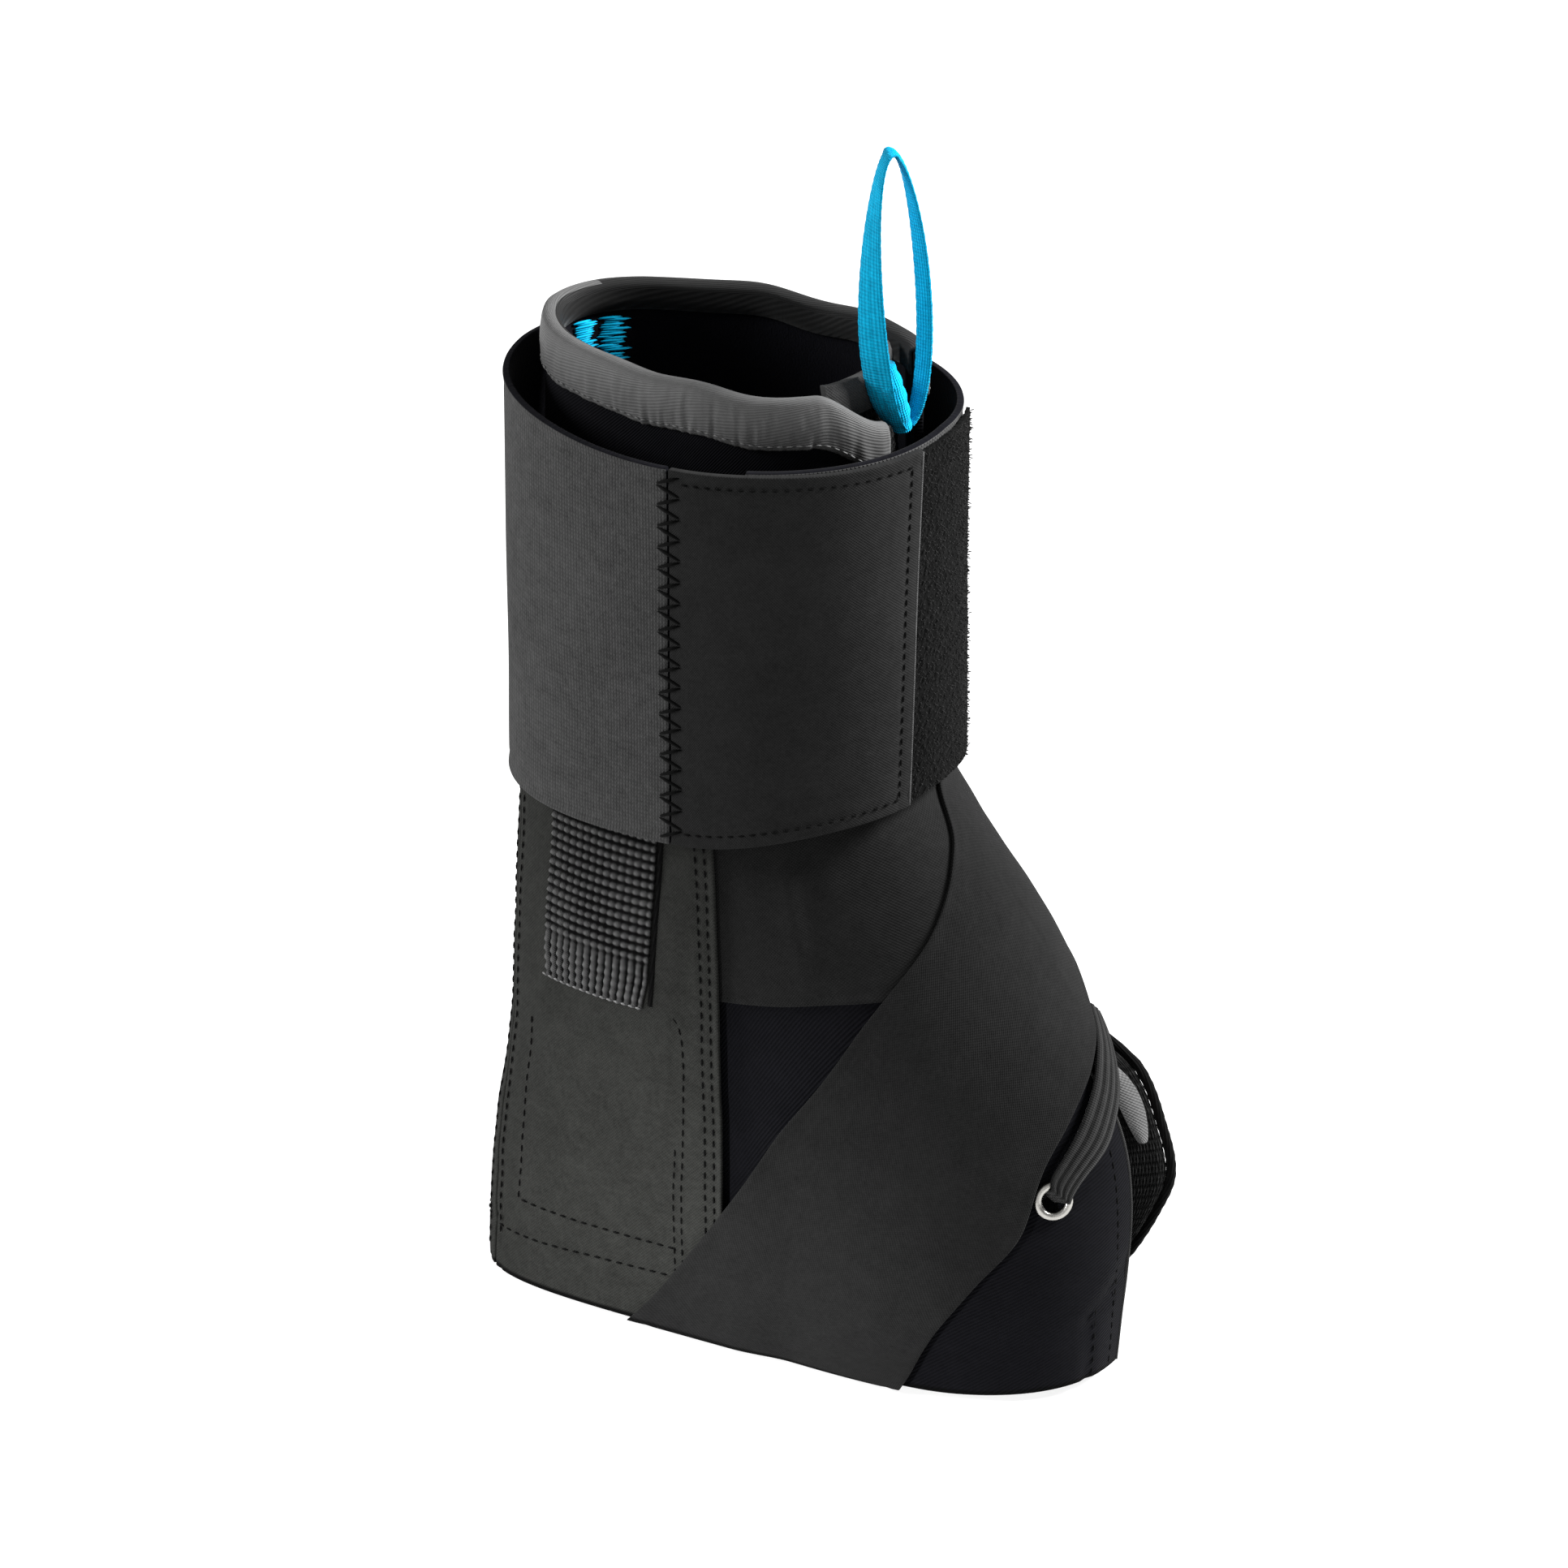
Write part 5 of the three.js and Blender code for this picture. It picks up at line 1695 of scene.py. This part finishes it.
        def radii(t: float) -> tuple[float, float]:
            """Half thickness and half width of the ribbon, thin on its far limb and at the crown."""
            wide = lerp(2.2, 3.5, smooth((t - 0.35) / 0.3)) + 0.5 * hump(t, 0.85, 0.1)
            return 0.62, wide

        def twist(t: float) -> Vector:
            """Direction that the ribbon's edge follows, turning a little on its way."""
            return facing + across * (0.45 * math.sin(t * 9.0))

        ribbon = tube(
            "pull_loop_ribbon", path, twist, radii, 190, 18, Finish.RIBBON,
            surface=lambda u, w: 0.07 * math.sin(u * 420 + 2 * math.pi * w),
        )
        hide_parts("pull_loop")

        def knot_path(t: float) -> Vector:
            """Point of the sewn foot, wound over the ribbon's two ends."""
            point = foot + across * lerp(-0.6, -5.2, t) + facing * 0.5
            point.z = low + lerp(0.8, 17.5, t)
            return point

        def knot_radii(t: float) -> tuple[float, float]:
            """Half sizes of the foot, full in its upper half."""
            full = math.sin(math.pi * min(1.0, 0.12 + 0.8 * t)) ** 0.6
            return 1.3 + 1.5 * full, 1.6 + 1.7 * full

        knot = tube(
            "pull_loop_foot", knot_path, lambda t: facing, knot_radii, 60, 20, Finish.RIBBON,
            surface=lambda u, w: 0.16 * math.sin(u * 26 + 2 * math.pi * w),
        )
        return [ribbon, knot]


@dataclass
class Lacing:
    """The eyelets and the visible stretch of the lace.

    The route rows are: step, turn from the eyelet, rise by share of the boot's height, and width by
    share of the lace's.
    """

    boot: Boot
    outer: float = 4.7
    hole: float = 2.7
    rise: float = 1.1
    lace_width: float = 8.0
    lace_thickness: float = 1.0
    clearance: float = 0.4
    ring_sides: int = 14
    ring_steps: int = 48
    route: tuple = (
        (0, 0, 0.0, 0.5),
        (0.6, 0.6, 0.014, 0.75),
        (1.4, 3, 0.031, 0.8),
        (2.4, 8, 0.059, 1),
        (3.4, 13, 0.091, 1),
        (4.4, 18, 0.121, 1),
        (5.4, 22, 0.143, 0.9),
    )

    def eyelet(self, name: str, node: str, turn: float) -> bpy.types.Object:
        """Builds one rolled metal ring.

        Args:
            name: Name of the piece.
            node: Node of the frame that it replaces.
            turn: Where it sits, in degrees from the toe.

        Returns:
            The finished object.
        """
        centre, out = self.boot.seat(turn)
        middle = (self.outer + self.hole) / 2
        half = (self.outer - self.hole) / 2
        bm = charted_mesh()
        section = []
        for i in range(self.ring_sides):
            swing = 2 * math.pi * i / self.ring_sides
            corner = (middle + half * math.cos(swing), 0, 0.45 + 0.75 * math.sin(swing))
            section.append(bm.verts.new(corner))
        edges = [bm.edges.new((a, b)) for a, b in zip(section, section[1:] + section[:1])]
        bmesh.ops.spin(
            bm, geom=section + edges, cent=(0, 0, 0), axis=(0, 0, 1), angle=2 * math.pi,
            steps=self.ring_steps, use_merge=True,
        )
        bmesh.ops.remove_doubles(bm, verts=bm.verts, dist=1e-4)
        bmesh.ops.recalc_face_normals(bm, faces=bm.faces)
        facing_out = Vector((0, 0, 1)).rotation_difference(out).to_matrix().to_4x4()
        seat = Matrix.Translation(centre + out * 0.35) @ facing_out
        bmesh.ops.transform(bm, matrix=seat, verts=bm.verts)
        piece = finished(bm, name, [Finish.RING])
        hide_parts(node)
        return piece

    def lace(self) -> bpy.types.Object:
        """Builds the flat lace with its lengthwise ridges."""
        boot = self.boot
        form = boot.form
        last = self.route[-1][0]
        reach = 0.28

        def ridges(u: float, v: float) -> float:
            """Relief of the lace's ridges."""
            return reach * (0.5 - 0.5 * math.cos(2 * math.pi * v * 4))

        def place(u: float, v: float, offset: float) -> Vector:
            """Point of the lace's outer face."""
            step = u * last
            shift = (v - 0.5) * self.lace_width * column(self.route, 3, step)
            turn = column(self.route, 1, step) + boot.near_eyelet + shift * 0.45
            height = boot.eyelet_height + column(self.route, 2, step) * form.height - shift * 0.7
            lift = 2 * self.clearance + self.rise + self.lace_thickness
            dive = 4.0 * smooth((0.06 - u) / 0.06)
            crown = 0.35 * math.sin(math.pi * v)
            return form.point(turn, height, lift - 0.3 - dive + crown + offset)

        cloth = Cloth(
            "flat_lace", place, 90, 40, Finish.LACE, self.lace_thickness * 0.8,
            relief=ridges, relief_reach=reach, edge=0.0,
        )
        piece = cloth.build()
        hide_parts("lace")
        return piece

    def build(self) -> list[bpy.types.Object]:
        """Builds both eyelets and the lace."""
        return [
            self.eyelet("near_eyelet_ring", "lateral_eyelet", self.boot.near_eyelet),
            self.eyelet("far_eyelet_ring", "medial_eyelet", self.boot.far_turn()),
            self.lace(),
        ]


@dataclass
class Studio:
    """Camera, floor and lights.

    The camera's aim and distance are in millimetres, like the brace. The floor and the lights have
    their places in metres. A soft light is: name, place, size and power.
    """

    aim: tuple[float, float, float] = (7.0, 5.0, 126.0)
    back: tuple[float, float, float] = (0.42703, -0.78649, 0.44620)
    distance: float = 1843.5
    lens: float = 180.0
    sensor: float = 36.0
    floor_half: float = 6.0
    floor_drop: float = 0.0004
    floor_grey: float = 0.2
    floor_glow: float = 0.84
    room_light: float = 0.3
    soft_lights: tuple = (
        ("key_light", (-1.9, -0.9, 1.0), 0.8, 56.0),
        ("instep_light", (1.3, 0.75, 1.4), 0.6, 150.0),
        ("front_light", (0.9, -1.6, 0.7), 1.2, 2.5),
    )
    brace_middle: tuple[float, float, float] = (0.02, 0.0, 0.13)
    low_place: tuple[float, float, float] = (-0.2, -1.2, 0.3)
    low_target: tuple[float, float, float] = (0.015, -0.045, 0.01)
    low_power: float = 115.0
    low_spread: float = 9.5

    def camera(self) -> None:
        """Sets the camera at the photograph's place."""
        data = bpy.data.cameras.new("photo_camera")
        data.lens = self.lens
        data.sensor_width = self.sensor
        data.clip_end = 20.0
        camera = bpy.data.objects.new("photo_camera", data)
        place = Vector(self.aim) + Vector(self.back) * self.distance
        camera.location = place * MM
        camera.rotation_euler = Vector(self.back).to_track_quat("Z", "Y").to_euler()
        bpy.context.scene.collection.objects.link(camera)
        bpy.context.scene.camera = camera

    def floor(self) -> None:
        """Lays the plain pale floor."""
        bm = bmesh.new()
        bmesh.ops.create_grid(bm, x_segments=8, y_segments=8, size=self.floor_half)
        bmesh.ops.translate(bm, vec=(0, 0, -self.floor_drop), verts=bm.verts)
        mesh = bpy.data.meshes.new("pale_floor")
        bm.to_mesh(mesh)
        bm.free()
        floor = bpy.data.objects.new("pale_floor", mesh)
        bpy.context.scene.collection.objects.link(floor)
        material, _, shader = start_material("pale_floor")
        shader.inputs["Base Color"].default_value = (*grey(self.floor_grey), 1.0)
        shader.inputs["Roughness"].default_value = 0.9
        shader.inputs["Emission Color"].default_value = (1.0, 1.0, 1.0, 1.0)
        shader.inputs["Emission Strength"].default_value = self.floor_glow
        mesh.materials.append(material)

    @staticmethod
    def hang(data: bpy.types.Light, place: Sequence[float], target: Sequence[float]) -> None:
        """Hangs a lamp at a place and points it at a target."""
        lamp = bpy.data.objects.new(data.name, data)
        lamp.location = place
        lamp.rotation_euler = (Vector(place) - Vector(target)).to_track_quat("Z", "Y").to_euler()
        bpy.context.scene.collection.objects.link(lamp)

    def lights(self) -> None:
        """Hangs the soft lights, and the narrow one on the lower end of the near strap."""
        for name, place, size, power in self.soft_lights:
            soft = bpy.data.lights.new(name, "AREA")
            soft.size = size
            soft.energy = power
            self.hang(soft, place, self.brace_middle)
        narrow = bpy.data.lights.new("low_light", "SPOT")
        narrow.energy = self.low_power
        narrow.spot_size = math.radians(self.low_spread)
        narrow.spot_blend = 1.0
        narrow.shadow_soft_size = 0.05
        self.hang(narrow, self.low_place, self.low_target)

    def build(self) -> None:
        """Sets the whole studio."""
        self.camera()
        self.floor()
        world = bpy.data.worlds.new("white_room")
        world.use_nodes = True
        room = world.node_tree.nodes["Background"]
        room.inputs["Color"].default_value = (1.0, 1.0, 1.0, 1.0)
        room.inputs["Strength"].default_value = self.room_light
        bpy.context.scene.world = world
        bpy.context.scene.view_settings.view_transform = "Standard"
        self.lights()


def report(pieces: Sequence[bpy.types.Object]) -> None:
    """Logs the pieces that were just built."""
    for piece in pieces:
        log.info("built %s with %d faces", piece.name, len(piece.data.polygons))


def main() -> None:
    """Builds the studio and every piece of the brace."""
    logging.basicConfig(level=logging.INFO, format="%(name)s: %(message)s")
    Studio().build()
    form = BootForm()
    boot = Boot(form)
    report([boot.wall(), boot.sole()])
    report(boot.binding())
    report(boot.edges())
    report([boot.inner_patch()])
    for side, name in ((-1, "lateral"), (1, "medial")):
        panel = SidePanel(form, side, name)
        report([panel.panel(), panel.seams()])
        report(panel.webbing())
    report(HeelStrip(form).build())
    report(Straps(form).build())
    cuff = Cuff(form)
    report([cuff.elastic(), cuff.tab()])
    report(cuff.pile())
    report(cuff.sewing())
    tongue = Tongue(form)
    report([tongue.pad(), tongue.rolled_edge(), tongue.tape_loop()])
    report(tongue.pull_loop())
    report(Lacing(boot).build())


if __name__ == "__main__":
    main()
